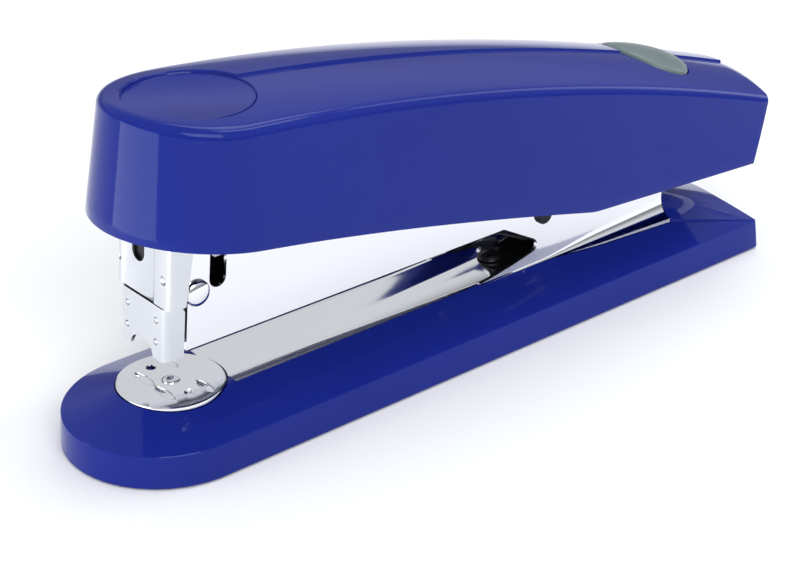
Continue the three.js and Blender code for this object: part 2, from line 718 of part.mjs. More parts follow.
// Plan walls of the cover, inside by wall: drafted sides, then a slope that softens the upper edge.
function coverWalls(wall) {
  const points = stadiumPoints(COVER_NOSE_X, COVER_HALF, 212, 20, 14);
  const options = { depth: 2, steps: 2, bevelEnabled: false };
  const geometry = new THREE.ExtrudeGeometry(outline(points), options);
  const draft = COVER_HALF - COVER_TOP_HALF;
  return solid(
    reshaped(geometry, (p) => {
      const level = Math.round(p.z);
      const rise = [-0.6, 0.95, 1][level];
      const inset = wall + draft * rise + (level === 2 ? 10 : 0);
      const scale = (COVER_HALF - inset) / COVER_HALF;
      if (p.x < COVER_NOSE_X) {
        p.x = COVER_NOSE_X + 1.2 * Math.max(rise, 0) + (p.x - COVER_NOSE_X) * scale;
      }
      const lower = coverLowerZ(p.x);
      const upper = coverEdgeZ(p.x) - wall;
      const heights = [lower - 0.6 * (upper - lower), upper - COVER_EDGE, upper - COVER_EDGE + 12.5];
      p.set(p.x, p.y * scale, heights[level]);
    }),
  );
}

// Side form of the cover, inside by wall: crowned top with the ridge step, inclined rear end, lower edge.
function coverSides(wall, lowerBy) {
  const xs = range(6, 196, 16);
  const rearFoot = 188.6 - wall * 1.1;
  const lower = xs.filter((x) => x < rearFoot).map((x) => [x, coverLowerZ(x) - lowerBy]);
  const rearAt = (z) => rearFoot + ((z - 25.9) * 8.1) / 15.1;
  const rearTop = 204;
  const upper = [...xs, rearTop].map((x) => [x, coverEdgeZ(x) - wall]).reverse();
  const rear = [
    [rearAt(25.9 - lowerBy), 25.9 - lowerBy],
    [rearAt(60), 60],
  ];
  const ySteps = [-24, -20, -15, -10, -5, -0.15, 0.15, 5, 10, 15, 20, 24];
  const last = ySteps.length - 1;
  const body = across(outline([...lower, rear[0], [rearTop, 25.9 - lowerBy], ...upper]), 0, last, last);
  const shaped = reshaped(body, (p) => {
    const index = Math.round(p.y);
    const onRidge = Math.abs(ySteps[index]) < 1;
    const y = ySteps[index] + (onRidge ? ridgeY(p.x) : 0);
    const middle = (coverLowerZ(p.x) - lowerBy + coverEdgeZ(p.x)) / 2;
    if (p.z > middle) {
      const far = index > last / 2 ? RIDGE_STEP * ridgeRamp(p.x) : 0;
      p.z += crownAt(p.x) * (1 - (y / COVER_TOP_HALF) ** 2) + far;
    }
    p.y = y;
  });
  const rearCut = across(outline([rear[0], [240, rear[0][1]], [240, 60], rear[1]]), -30, 30);
  return solid(shaped).subtract(solid(rearCut));
}

// Everything about the release button is drawn upright at the origin, then tilted into place.
const atButton = (geometry) => geometry.rotateY(BUTTON.tilt).translate(BUTTON.x, 0, BUTTON.z);
const onCrown = (p) => {
  p.z -= 0.0095 * p.y ** 2;
};
const oval = (grow, z0, z1, sides = 32) =>
  reshaped(
    turned([[0, z0], [1, z0], [1, z1], [0, z1]], sides).scale(
      BUTTON.halfX + grow,
      BUTTON.halfY + grow,
      1,
    ),
    onCrown,
  );
const STEM_RADIUS = 2.2;
const BUTTON_TRAVEL = 2.5;
const tubFloor = -4.8;

let cover = coverWalls(0)
  .intersect(coverSides(0, 0))
  .subtract(coverWalls(COVER_WALL).intersect(coverSides(COVER_WALL + 0.2, 30)))
  .subtract(post(PAD.x, 0, PAD.radius, PAD.z, 90, 48));
const tub = solid(atButton(oval(1.8, tubFloor - 1.4, -0.6)));
const tubPocket = solid(atButton(oval(GAP, tubFloor, 12)));
const stemHole = solid(atButton(turned([[0, -12], [2.6, -12], [2.6, 0], [0, 0]], 24)));
cover = cover.add(tub).subtract(tubPocket).subtract(stemHole);

// inverted channel under the cover's top: its sides straddle the arm, with an ear at each pin
const frameTop = [
  [28.5, 72],
  [45, 71.6],
  [80, 68],
  [110, 62.6],
  [140, 54.2],
  [151, 50.4],
];
const frameOutline = outline([
  [30.2, 45.7],
  [28.5, 50],
  ...frameTop,
  [151.6, 40],
  [149.5, 35.9],
  [146, 34.6],
  [142.5, 35.9],
  [140.4, 40],
  [136, 47],
  [110, 55],
  [80, 60],
  [45, 62],
  [39.5, 54],
  [38, 45.7],
]);
const frameInside = outline([
  [10, frameTop[0][1] - FRAME_SHEET],
  ...frameTop.slice(1, -1).map(([x, z]) => [x, z - FRAME_SHEET]),
  [165, 45],
  [165, 20],
  [10, 20],
]);
const FRAME_SCREWS = [
  ["front", 56],
  ["rear", 122],
];
const lineAt = (points, x) => {
  const i = points.findIndex(([px]) => px > x);
  const [[x0, z0], [x1, z1]] = [points[i - 1], points[i]];
  return THREE.MathUtils.mapLinear(x, x0, x1, z0, z1);
};
let frame = solid(across(frameOutline, -FRAME_OUTER, FRAME_OUTER)).subtract(
  solid(across(frameInside, FRAME_SHEET - FRAME_OUTER, FRAME_OUTER - FRAME_SHEET)),
);
frame = frame
  .subtract(bar(HANDLE_PIVOT.x, HANDLE_PIVOT.z, HANDLE_PIVOT.radius + RUN, -20, 20, 32))
  .subtract(
    solid(
      across(
        slotOutline(driverPinX - 0.9, DRIVER_PIN_Z, driverPinX + 0.5, DRIVER_PIN_Z, DRIVER_PIN_RADIUS + 0.15),
        -20,
        20,
      ),
    ),
  );
for (const [end, x] of FRAME_SCREWS) {
  const webTop = lineAt(frameTop, x);
  // a boss hangs from the cover's top down to the web, and the screw comes up through the web into it
  const boss = post(x, 0, 4, webTop + 1.6, coverEdgeZ(x), 16);
  const pilot = post(x, 0, 1.5 + GAP, webTop - 4, webTop + 4, 16);
  cover = cover.add(boss).subtract(pilot);
  frame = frame.subtract(pilot);
  const screw = turned(
    [
      [0, webTop - 4.4],
      [2.6, webTop - 4.1],
      [3, webTop - 2.6],
      [1.5, webTop - 2.6],
      [1.5, webTop + 3.7],
      [0, webTop + 3.7],
    ],
    16,
  );
  piece(`frame_screw_${end}`, solid(screw.translate(x, 0, 0)), STEEL);
}
piece("cover_shell", cover, BLUE);
piece("handle_frame", frame, STEEL);

// return spring between the arm's top and the frame's web
const RETURN_X = 84;
const armTopZ = THREE.MathUtils.mapLinear(RETURN_X, 41, 146, 54, 46.5) + 0.9;
const webUnderZ = lineAt(frameTop, RETURN_X) - FRAME_SHEET - 1.1;
piece(
  "return_spring",
  solid(coil(5, 1.1, 6, webUnderZ - armTopZ).translate(RETURN_X, 0, armTopZ)),
  STEEL,
);

// ---------------------------------------------------------------- release button and latch
const buttonCap = reshaped(
  turned([[0, -1.4], [1, -1.4], [1, 0.5], [0.93, 1.15], [0.62, 1.75], [0.3, 2.05], [0, 2.15]]).scale(
    BUTTON.halfX,
    BUTTON.halfY,
    1,
  ),
  onCrown,
);
const stemEnd = -8.4;
const stem = turned([[0, stemEnd], [STEM_RADIUS, stemEnd], [STEM_RADIUS, 0], [0, 0]], 16);
piece("release_button", solid(atButton(buttonCap)).add(solid(atButton(stem))), BUTTON_GREY);
piece(
  "button_spring",
  solid(atButton(coil(3.4, 0.6, 2.5, 2.6).translate(0, 0, tubFloor + GAP))),
  STEEL,
);

// latch lever on the handle pin: a tooth over the magazine's catch in front, a pad under the stem behind
const padX = BUTTON.x + stemEnd * Math.sin(BUTTON.tilt);
const padZ = BUTTON.z + stemEnd * Math.cos(BUTTON.tilt) - 0.75;
const padSlope = Math.tan(BUTTON.tilt);
const toothBottom = CHANNEL_WALL_Z + 0.9 + GAP;
const LATCH_HALF = 2.5;
const lever = outline([
  [133.4, toothBottom],
  [135.8, toothBottom],
  [136.6, 38.4],
  [142, 37],
  [146, 35.8],
  [150, 37],
  [padX + 4, padZ - 4 * padSlope - 2],
  [padX + 4, padZ - 4 * padSlope],
  [padX - 4, padZ + 4 * padSlope],
  [154, 43.4],
  [146, 44.2],
  [138, 42.2],
  [133.4, 41],
]);
piece(
  "latch_lever",
  solid(across(lever, -LATCH_HALF, LATCH_HALF)).subtract(
    bar(HANDLE_PIVOT.x, HANDLE_PIVOT.z, HANDLE_PIVOT.radius + RUN, -20, 20, 32),
  ),
  STEEL,
);

export default part;
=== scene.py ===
# %% [markdown]
# # A desk stapler, finished piece by piece
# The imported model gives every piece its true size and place. This script keeps those places and makes the
# surfaces that the eye meets: moulded gloss plastic, bent bright sheet, a coined anvil and real staples.

# %% Load the frame
import json
import math

import bmesh
import bpy
from mathutils import Matrix, Vector


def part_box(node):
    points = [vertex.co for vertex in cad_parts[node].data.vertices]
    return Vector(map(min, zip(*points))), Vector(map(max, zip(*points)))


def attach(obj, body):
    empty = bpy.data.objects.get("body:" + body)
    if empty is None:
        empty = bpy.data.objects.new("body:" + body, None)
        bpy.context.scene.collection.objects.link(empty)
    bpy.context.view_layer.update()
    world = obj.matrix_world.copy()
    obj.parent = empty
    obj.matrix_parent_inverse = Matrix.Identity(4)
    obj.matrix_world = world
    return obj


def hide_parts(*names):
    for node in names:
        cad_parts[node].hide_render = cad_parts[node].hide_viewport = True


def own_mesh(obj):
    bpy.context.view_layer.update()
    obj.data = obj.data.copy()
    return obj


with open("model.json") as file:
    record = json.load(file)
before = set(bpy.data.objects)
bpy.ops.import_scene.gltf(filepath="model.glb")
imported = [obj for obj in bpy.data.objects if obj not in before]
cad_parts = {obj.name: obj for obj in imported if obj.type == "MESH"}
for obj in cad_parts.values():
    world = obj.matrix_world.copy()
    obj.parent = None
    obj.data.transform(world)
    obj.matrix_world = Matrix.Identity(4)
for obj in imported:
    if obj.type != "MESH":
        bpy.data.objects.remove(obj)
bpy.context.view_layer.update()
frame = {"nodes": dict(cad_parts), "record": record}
print("pieces in the frame:", len(frame["nodes"]))

# %% [markdown]
# A maker thinks of this object in millimetres from the front of its base, so every size below is written that
# way. `span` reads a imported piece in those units, and a finished mesh is turned back into metres at the end.

# %% Millimetres from the front of the base
MM = 0.001
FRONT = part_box("base_shell")[0].x


def span(node):
    low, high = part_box(node)
    origin = Vector((FRONT, 0, 0))
    return (low - origin) / MM, (high - origin) / MM


BASE_HIGH = span("base_shell")[1]
COVER_LOW, COVER_HIGH = span("cover_shell")
print("base length", round(BASE_HIGH.x, 2), "cover height", round(COVER_HIGH.z, 2))

# %% [markdown]
# Three shapes cover nearly all of the work. `skin` is a grid whose corners are moved by a rule, which is how a
# moulded shell is drawn. `tube` is a skin that closes on itself and gets a cap at each end. `prism` is a flat
# outline given a thickness, which is how cut sheet is drawn; `rectangle` gives it four corners in order.


# %% Grids, tubes and prisms
def skin(columns, rows, point):
    bm = bmesh.new()
    bmesh.ops.create_grid(bm, x_segments=columns, y_segments=rows, size=1)
    for vert in bm.verts:
        column = round((vert.co.x + 1) / 2 * columns)
        row = round((vert.co.y + 1) / 2 * rows)
        vert.co = point(column, row)
    return bm


def tidied(bm, distance=1e-4):
    bmesh.ops.remove_doubles(bm, verts=bm.verts, dist=distance)
    bmesh.ops.dissolve_degenerate(bm, edges=bm.edges, dist=distance)
    bmesh.ops.recalc_face_normals(bm, faces=bm.faces)
    return bm


def capped(bm):
    bmesh.ops.holes_fill(bm, edges=[e for e in bm.edges if e.is_boundary], sides=0)
    bmesh.ops.recalc_face_normals(bm, faces=bm.faces)
    return bm


def tube(columns, rows, point):
    return capped(tidied(skin(columns, rows, point)))


def rectangle(left, bottom, right, top):
    return [(left, bottom), (right, bottom), (right, top), (left, top)]


def prism(points, axis, low, high):
    bm = bmesh.new()
    along = {"x": (1, 0, 0), "y": (0, 1, 0), "z": (0, 0, 1)}[axis]
    place = {
        "x": lambda a, b: (low, a, b),
        "y": lambda a, b: (a, low, b),
        "z": lambda a, b: (a, b, low),
    }[axis]
    face = bm.faces.new([bm.verts.new(place(a, b)) for a, b in points])
    made = bmesh.ops.extrude_face_region(bm, geom=[face])["geom"]
    lifted = [g for g in made if isinstance(g, bmesh.types.BMVert)]
    bmesh.ops.translate(bm, verts=lifted, vec=Vector(along) * (high - low))
    return capped(bm)


# %% [markdown]
# Round pieces are turned on a lathe: a half outline of radius and height is spun once about its axis, and its
# ends are welded. A turn and a place then lay the finished piece where it belongs.


# %% Turned pieces
UPRIGHT = Matrix.Identity(4)
TOWARDS_FAR = Matrix.Rotation(-math.pi / 2, 4, "X")
TOWARDS_NEAR = Matrix.Rotation(math.pi / 2, 4, "X")
TOWARDS_REAR = Matrix.Rotation(math.pi / 2, 4, "Y")


def turned(profile, centre=(0, 0, 0), turn=UPRIGHT, steps=48):
    bm = bmesh.new()
    verts = [bm.verts.new((radius, 0, height)) for radius, height in profile]
    edges = [bm.edges.new(pair) for pair in zip(verts, verts[1:])]
    bmesh.ops.spin(
        bm, geom=verts + edges, cent=(0, 0, 0), axis=(0, 0, 1), angle=2 * math.pi, steps=steps, use_merge=True
    )
    bm.transform(Matrix.Translation(centre) @ turn)
    return tidied(bm)


def disc(radius, low, high, centre, turn=UPRIGHT, steps=48):
    return turned([(0, low), (radius, low), (radius, high), (0, high)], centre, turn, steps)


# %% [markdown]
# Holes, windows and recesses are cut with exact booleans, and sharp rims are then broken by a narrow bevel,
# because no moulded or stamped edge is perfectly sharp and the broken edge is what catches the light.


# %% Cutting and softening
def as_object(bm, name="work"):
    mesh = bpy.data.meshes.new(name)
    bm.to_mesh(mesh)
    bm.free()
    obj = bpy.data.objects.new(name, mesh)
    bpy.context.scene.collection.objects.link(obj)
    return obj


def worked(bm, operation, *tools):
    body = as_object(bm)
    helpers = [as_object(tool) for tool in tools]
    for helper in helpers:
        cut = body.modifiers.new("cut", "BOOLEAN")
        cut.operation = operation
        cut.solver = "EXACT"
        cut.object = helper
    shown = body.evaluated_get(bpy.context.evaluated_depsgraph_get())
    result = bmesh.new()
    result.from_mesh(shown.to_mesh())
    for obj in [body, *helpers]:
        bpy.data.objects.remove(obj)
    return tidied(result)


def cut(bm, *tools):
    return worked(bm, "DIFFERENCE", *tools)


def joined(bm, *tools):
    return worked(bm, "UNION", *tools)


def sharp_edges(bm, degrees=40):
    limit = math.radians(degrees)
    return [e for e in bm.edges if len(e.link_faces) == 2 and e.calc_face_angle() > limit]


def softened(bm, edges, width, segments=2):
    bmesh.ops.bevel(
        bm,
        geom=edges,
        offset=width,
        offset_type="OFFSET",
        segments=segments,
        profile=0.5,
        affect="EDGES",
        clamp_overlap=True,
        material=-1,
    )
    return bm


# %% [markdown]
# ## Finishes
# Each finish is a small node tree on Object coordinates: one noise moves the colour and the roughness a
# little, a finer one lifts the surface. On brushed metal the noise is stretched along the rolling direction.


# %% A finish from two noises
def noise_node(tree, coordinates, scale, stretch):
    mapping = tree.nodes.new("ShaderNodeMapping")
    mapping.inputs["Scale"].default_value = stretch
    noise = tree.nodes.new("ShaderNodeTexNoise")
    noise.inputs["Scale"].default_value = scale
    noise.inputs["Detail"].default_value = 4
    tree.links.new(coordinates.outputs["Object"], mapping.inputs["Vector"])
    tree.links.new(mapping.outputs["Vector"], noise.inputs["Vector"])
    return noise


def finish(name, colour, rough, cloud, grain, lift, metal=0.0, shift=0.06, stretch=(1, 1, 1)):
    material = bpy.data.materials.new(name)
    material.use_nodes = True
    tree = material.node_tree
    shader = tree.nodes["Principled BSDF"]
    shader.inputs["Metallic"].default_value = metal
    coordinates = tree.nodes.new("ShaderNodeTexCoord")
    broad = noise_node(tree, coordinates, cloud, stretch)
    fine = noise_node(tree, coordinates, grain, stretch)

    tint = tree.nodes.new("ShaderNodeValToRGB")
    for stop, factor in zip(tint.color_ramp.elements, (1 - shift, 1 + shift)):
        stop.color = [channel * factor for channel in colour] + [1]
    tint.color_ramp.elements[0].position = 0.3
    tint.color_ramp.elements[1].position = 0.7
    tree.links.new(broad.outputs["Fac"], tint.inputs["Fac"])
    tree.links.new(tint.outputs["Color"], shader.inputs["Base Color"])

    spread = tree.nodes.new("ShaderNodeMapRange")
    spread.inputs["To Min"].default_value = rough[0]
    spread.inputs["To Max"].default_value = rough[1]
    tree.links.new(broad.outputs["Fac"], spread.inputs["Value"])
    tree.links.new(spread.outputs["Result"], shader.inputs["Roughness"])

    bump = tree.nodes.new("ShaderNodeBump")
    bump.inputs["Strength"].default_value = 0.5
    bump.inputs["Distance"].default_value = lift * MM
    tree.links.new(fine.outputs["Fac"], bump.inputs["Height"])
    tree.links.new(bump.outputs["Normal"], shader.inputs["Normal"])
    return material


# %% [markdown]
# The cover and base are one deep blue, polished in the mould. The bright parts are nickel-plated sheet, the
# hidden ones plain spring steel, and the lift spring and pusher are blackened.

# %% The finishes of this stapler
FINISH = {
    "gloss_blue_plastic": finish(
        "gloss_blue", (0.0095, 0.0195, 0.222), (0.045, 0.085), 18, 420, 0.004, shift=0.05
    ),
    "satin_grey_plastic": finish("satin_grey", (0.12, 0.165, 0.168), (0.3, 0.4), 90, 2600, 0.03),
    "bright_chrome": finish(
        "bright_plate", (0.87, 0.88, 0.91), (0.05, 0.1), 60, 900, 0.0015, 1.0, 0.03, (0.25, 1, 1)
    ),
    "spring_steel": finish(
        "spring_steel", (0.5, 0.51, 0.53), (0.22, 0.34), 120, 1500, 0.01, 1.0, 0.08, (0.1, 1, 1)
    ),
    "black_steel": finish("black_steel", (0.02, 0.02, 0.023), (0.28, 0.42), 150, 1800, 0.02, 0.6, 0.25),
    "black_rubber": finish("black_rubber", (0.012, 0.012, 0.013), (0.7, 0.9), 200, 2200, 0.12, 0.0, 0.2),
    "staple_wire": finish(
        "staple_wire", (0.6, 0.61, 0.63), (0.16, 0.28), 200, 2500, 0.01, 1.0, 0.08, (1, 0.2, 1)
    ),
}
polish = FINISH["gloss_blue_plastic"].node_tree.nodes["Principled BSDF"].inputs
polish["Specular Tint"].default_value = (0.72, 0.86, 1, 1)
polish["Specular IOR Level"].default_value = 0.2
# The nose pieces wear a copy of the bright plate that is a little rougher, with its grain running up the height, and
# darker; the darker colour is painted shade on the nose.
FINISH["shaded_nose_plating"] = finish(
    "shaded_nose_plating", (0.66, 0.68, 0.72), (0.1, 0.16), 80, 1100, 0.002, 1.0, 0.04, (1, 1, 0.25)
)
SLOT_OF = {part["node"]: part["material_slot"] for part in frame["record"]["subparts"]}
BODY_OF = {node: body for body, nodes in frame["record"]["behaviour"]["bodies"].items() for node in nodes}
for node, obj in frame["nodes"].items():
    obj.data.materials.clear()
    obj.data.materials.append(FINISH[SLOT_OF[node]])
print("finishes:", len(FINISH))

# %% [markdown]
# `made` hands over a finished piece: metres, smooth shading that breaks at real edges, the finish of the piece
# it stands for, and the body it moves with.


# %% Handing over a finished piece
def made(bm, name, node, stands_for=None, smooth=32, wears=None):
    bm.transform(Matrix.Translation((FRONT, 0, 0)) @ Matrix.Scale(MM, 4))
    obj = as_object(bm, name)
    obj.data.shade_smooth()
    obj.data.set_sharp_from_angle(angle=math.radians(smooth))
    obj.data.materials.append(FINISH[wears or SLOT_OF[node]])
    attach(obj, BODY_OF[node])
    if stands_for is not False:
        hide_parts(*(stands_for or [node]))
    size = [round(side * 1000, 1) for side in obj.dimensions]
    print(f"{name}: {size} mm, {len(obj.data.polygons)} faces")
    return obj


def mixed(a, b, share):
    return a + (b - a) * share


def stepped(x, low, high):
    share = min(max((x - low) / (high - low), 0), 1)
    return share * share * (3 - 2 * share)


def arc_height(start, corner, end, x):
    a = start[0] - 2 * corner[0] + end[0]
    b = 2 * (corner[0] - start[0])
    t = (-b + math.sqrt(b * b - 4 * a * (start[0] - x))) / (2 * a)
    return start[1] * (1 - t) ** 2 + 2 * corner[1] * t * (1 - t) + end[1] * t * t


# %% [markdown]
# ## The cover
# The cover is one long moulded shell. Seen from above it is a straight body with a round nose; its sides lean
# in, its top is crowned, and a step runs along the top so that the far half stands a little higher. It is
# drawn as a skin of columns round the outline and rows from the lower edge up the wall, over the soft upper
# edge and across the crown, once for the outside and once, a wall inward, for the inside.

# %% Sizes and curves of the cover
COVER_LOW_HALF = (COVER_HIGH.y - COVER_LOW.y) / 2
COVER_TOP_HALF = 20.7
COVER_NOSE_X = 34.5
NOSE_SHIFT = 1.2
COVER_WALL = 2.4
UPPER_EDGE = ((15.3, 76.9), (100, 73.6), (197, 40.8))
LOWER_EDGE = ((11, 53.2), (56, 48.6), (131.1, 29.5))
REAR_FOOT = Vector((188.6, 0, 25.9))
REAR_LEAN = Vector((8.1, 0, 15.1))
RIDGE_STEP = 0.6
RIDGE_HALF = 0.16


def lower_edge(x):
    corner = LOWER_EDGE[2]
    if x < corner[0]:
        return arc_height(*LOWER_EDGE, max(x, LOWER_EDGE[0][0]))
    return corner[1] - (x - corner[0]) * (corner[1] - REAR_FOOT.z) / (REAR_FOOT.x - corner[0])


def ridge(x):
    return 2.4 - 4.0 * (x - 47) / 152


def crown(x, y, far):
    arch = (2 + 0.0137 * (x - 20)) * (1 - (y / COVER_TOP_HALF) ** 2)
    step = RIDGE_STEP * stepped(x, 16, 40) if far else 0
    return arc_height(*UPPER_EDGE, x) + arch + step


print("cover half width", round(COVER_LOW_HALF, 2))

# %% [markdown]
# The rule below answers one question: where is the point in this column and this row? The row says how high
# up the shell it is, and the column says how far round the outline.

# %% A rule for the cover's skin
SIDE_COLUMNS = 70
ARC_COLUMNS = 56
COVER_COLUMNS = 2 * SIDE_COLUMNS + ARC_COLUMNS
WALL_ROWS = 8
EDGE_ROWS = 6
TOP_ROWS = 18
COVER_ROWS = WALL_ROWS + EDGE_ROWS + TOP_ROWS
PAST_REAR = 206


def cover_plan(column, half, centre_x):
    if column <= SIDE_COLUMNS:
        return mixed(PAST_REAR, centre_x, column / SIDE_COLUMNS), -half
    if column >= SIDE_COLUMNS + ARC_COLUMNS:
        along = (column - SIDE_COLUMNS - ARC_COLUMNS) / SIDE_COLUMNS
        return mixed(centre_x, PAST_REAR, along), half
    angle = math.pi * (column - SIDE_COLUMNS) / ARC_COLUMNS
    return centre_x - half * math.sin(angle), -half * math.cos(angle)


def cover_rule(wall, edge):
    def point(column, row):
        far = column > COVER_COLUMNS / 2
        centre_x = COVER_NOSE_X + NOSE_SHIFT
        rim_half = COVER_TOP_HALF - wall
        if row <= WALL_ROWS:
            up = row / WALL_ROWS
            foot_x, _ = cover_plan(column, COVER_LOW_HALF - wall, COVER_NOSE_X)
            rim_x, rim_y = cover_plan(column, rim_half, centre_x)
            half = mixed(COVER_LOW_HALF - wall, rim_half, up)
            x, y = cover_plan(column, half, COVER_NOSE_X + NOSE_SHIFT * up)
            return Vector((x, y, mixed(lower_edge(foot_x), crown(rim_x, rim_y, far) - wall - edge, up)))
        if row <= WALL_ROWS + EDGE_ROWS:
            angle = (row - WALL_ROWS) / EDGE_ROWS * math.pi / 2
            x, y = cover_plan(column, rim_half - edge * (1 - math.cos(angle)), centre_x)
            return Vector((x, y, crown(x, y, far) - wall - edge * (1 - math.sin(angle))))
        x, y = cover_plan(column, rim_half - edge, centre_x)
        step_row = row - WALL_ROWS - EDGE_ROWS
        if far or step_row == TOP_ROWS:
            share, foot = step_row / TOP_ROWS, RIDGE_HALF
        else:
            share, foot = step_row / (TOP_ROWS - 1), -RIDGE_HALF
        if SIDE_COLUMNS < column < SIDE_COLUMNS + ARC_COLUMNS:
            x = mixed(x, centre_x, share)
        y = mixed(y, ridge(x) + foot, share)
        return Vector((x, y, crown(x, y, far or step_row == TOP_ROWS) - wall))

    return point


# %% [markdown]
# The rear end is a flat, leaning face. `bisect_plane` cuts the skin there, the open edge is closed with one
# face, and its rim is softened. Outside and inside are then bridged along the lower edge into one shell.


# %% Outside and inside of the cover
def cover_sheet(wall, edge, rear_soft):
    bm = tidied(skin(COVER_COLUMNS, COVER_ROWS, cover_rule(wall, edge)), 1e-3)
    normal = Vector((REAR_LEAN.z, 0, -REAR_LEAN.x)).normalized()
    everything = bm.verts[:] + bm.edges[:] + bm.faces[:]
    bmesh.ops.bisect_plane(
        bm, geom=everything, dist=1e-4, plane_co=REAR_FOOT - normal * wall, plane_no=normal, clear_outer=True
    )
    on_plane = [
        e
        for e in bm.edges
        if e.is_boundary and all(abs((v.co - REAR_FOOT + normal * wall).dot(normal)) < 1e-3 for v in e.verts)
    ]
    ends = [v for v in {v for e in on_plane for v in e.verts} if sum(e in on_plane for e in v.link_edges) == 1]
    closing = bm.edges.new(ends)
    rear = bmesh.ops.edgeloop_fill(bm, edges=on_plane + [closing])["faces"][0]
    rim = [e for e in rear.edges if e is not closing]
    softened(bm, rim, rear_soft, 3)
    bmesh.ops.recalc_face_normals(bm, faces=bm.faces)
    return bm


outer = cover_sheet(0, 2.1, 0.9)
inner = cover_sheet(COVER_WALL, 0.5, 0.3)
bmesh.ops.reverse_faces(inner, faces=inner.faces)
inside = bpy.data.meshes.new("inside")
inner.to_mesh(inside)
inner.free()
outer.from_mesh(inside)
foot_edges = [e for e in outer.edges if e.is_boundary]
bmesh.ops.bridge_loops(outer, edges=foot_edges)
outer.normal_update()
foot_rim = [e for e in foot_edges if e.is_valid]
softened(outer, foot_rim, 0.3, 2)
cover = tidied(outer)
print("cover shell faces", len(cover.faces), "open edges", sum(e.is_boundary for e in cover.edges))

# %% [markdown]
# The thumb pad in front is a shallow round dish. Its cutter is a tube whose upper rings follow the crown, so
# the rim of the dish is broken by the same small amount all the way round.

# %% The thumb dish
PAD_X = 33.5
PAD_RADIUS = 13.9
PAD_FLOOR = 76.6
PAD_RINGS = [
    (PAD_RADIUS - 0.5, None, 0.0),
    (PAD_RADIUS - 0.15, None, 0.12),
    (PAD_RADIUS, None, 0.45),
    (PAD_RADIUS + 0.06, "crown", -0.35),
    (PAD_RADIUS + 0.28, "crown", -0.08),
    (PAD_RADIUS + 0.9, "crown", 0.3),
    (PAD_RADIUS + 0.9, "crown", 6.0),
]


def pad_point(column, row):
    radius, follows, rise = PAD_RINGS[row]
    angle = 2 * math.pi * column / 96
    x = PAD_X + radius * math.cos(angle)
    y = radius * math.sin(angle)
    floor = crown(x, y, y > ridge(x)) if follows else PAD_FLOOR
    return Vector((x, y, floor + rise))


dish = tube(96, len(PAD_RINGS) - 1, pad_point)

# %% [markdown]
# The release button sits in an oval well, tilted with the falling top. Everything about it is drawn upright
# at the origin and then laid in place by one matrix.

# %% The button's place and the oval cut
BUTTON_X, BUTTON_Z = 170.5, 53
BUTTON_HALF_X, BUTTON_HALF_Y = 9.3, 13
AT_BUTTON = Matrix.Translation((BUTTON_X, 0, BUTTON_Z)) @ Matrix.Rotation(math.radians(16), 4, "Y")
BUTTON_CROWN = 0.0095
GAP = 0.3


def oval(profile, steps=72):
    bm = turned(profile, steps=steps)
    for vert in bm.verts:
        radius = math.hypot(vert.co.x, vert.co.y)
        if radius > 1e-6:
            share_x, share_y = vert.co.x / radius, vert.co.y / radius
            vert.co.x = share_x * radius * BUTTON_HALF_X / 10
            vert.co.y = share_y * radius * BUTTON_HALF_Y / 10
        vert.co.z -= BUTTON_CROWN * vert.co.y**2
    bm.transform(AT_BUTTON)
    return bm


well_cut = oval([(0, -4.5), (10.3, -4.5), (10.3, 0.2), (10.55, 0.75), (11.2, 1.4), (11.2, 12), (0, 12)])
cover = cut(cover, dish, well_cut)
made(cover, "moulded_cover", "cover_shell", smooth=28)
well = oval([(2.8, -6), (12, -6), (12, -2.4), (10.3, -2.4), (10.3, -4.8), (2.8, -4.8), (2.8, -6)])
made(well, "button_well", "cover_shell", stands_for=False)

# %% [markdown]
# The button is a shallow dome with a rounded rim, standing just proud of the cover, on a round stem.

# %% The release button
cap = oval(
    [
        (0, -1.4), (9.75, -1.4), (9.95, -1.2), (10, 0.1), (9.93, 0.5), (9.7, 0.86), (9.3, 1.12),
        (8.4, 1.42), (7, 1.7), (5, 1.94), (2.6, 2.1), (0, 2.15),
    ]
)
stem = disc(2.2, -8.4, -1, (0, 0, 0), steps=32)
stem.transform(AT_BUTTON)
made(joined(cap, stem), "release_button_cap", "release_button", smooth=50)

# %% [markdown]
# ## The base
# The base has the same kind of outline: a round front and a square rear end. Its rows climb a nearly upright
# side, turn over a crisp ridge, and run up a slope to the flat that carries the anvil and the channel plate.

# %% The base's outline and levels
BASE_ARC, BASE_SIDE, BASE_CORNER, BASE_REAR = 72, 30, 6, 10
BASE_COLUMNS = BASE_ARC + 2 * BASE_SIDE + 2 * BASE_CORNER + BASE_REAR
DISC_X = 25
BASE_END = BASE_HIGH.x


def base_plan(column, half, nose_x, nose_radius, rear_x, corner):
    column %= BASE_COLUMNS
    if column <= BASE_SIDE:
        return mixed(rear_x - corner, nose_x, column / BASE_SIDE), -half
    column -= BASE_SIDE
    if column <= BASE_ARC:
        angle = math.pi * column / BASE_ARC
        return nose_x - nose_radius * math.sin(angle), -half * math.cos(angle)
    column -= BASE_ARC
    if column <= BASE_SIDE:
        return mixed(nose_x, rear_x - corner, column / BASE_SIDE), half
    column -= BASE_SIDE
    if column <= BASE_CORNER:
        angle = math.pi / 2 * column / BASE_CORNER
        return rear_x - corner * (1 - math.sin(angle)), half - corner * (1 - math.cos(angle))
    column -= BASE_CORNER
    if column <= BASE_REAR:
        return rear_x, mixed(half - corner, corner - half, column / BASE_REAR)
    angle = math.pi / 2 * (column - BASE_REAR) / BASE_CORNER
    return rear_x - corner * (1 - math.cos(angle)), corner - half - corner * math.sin(angle)


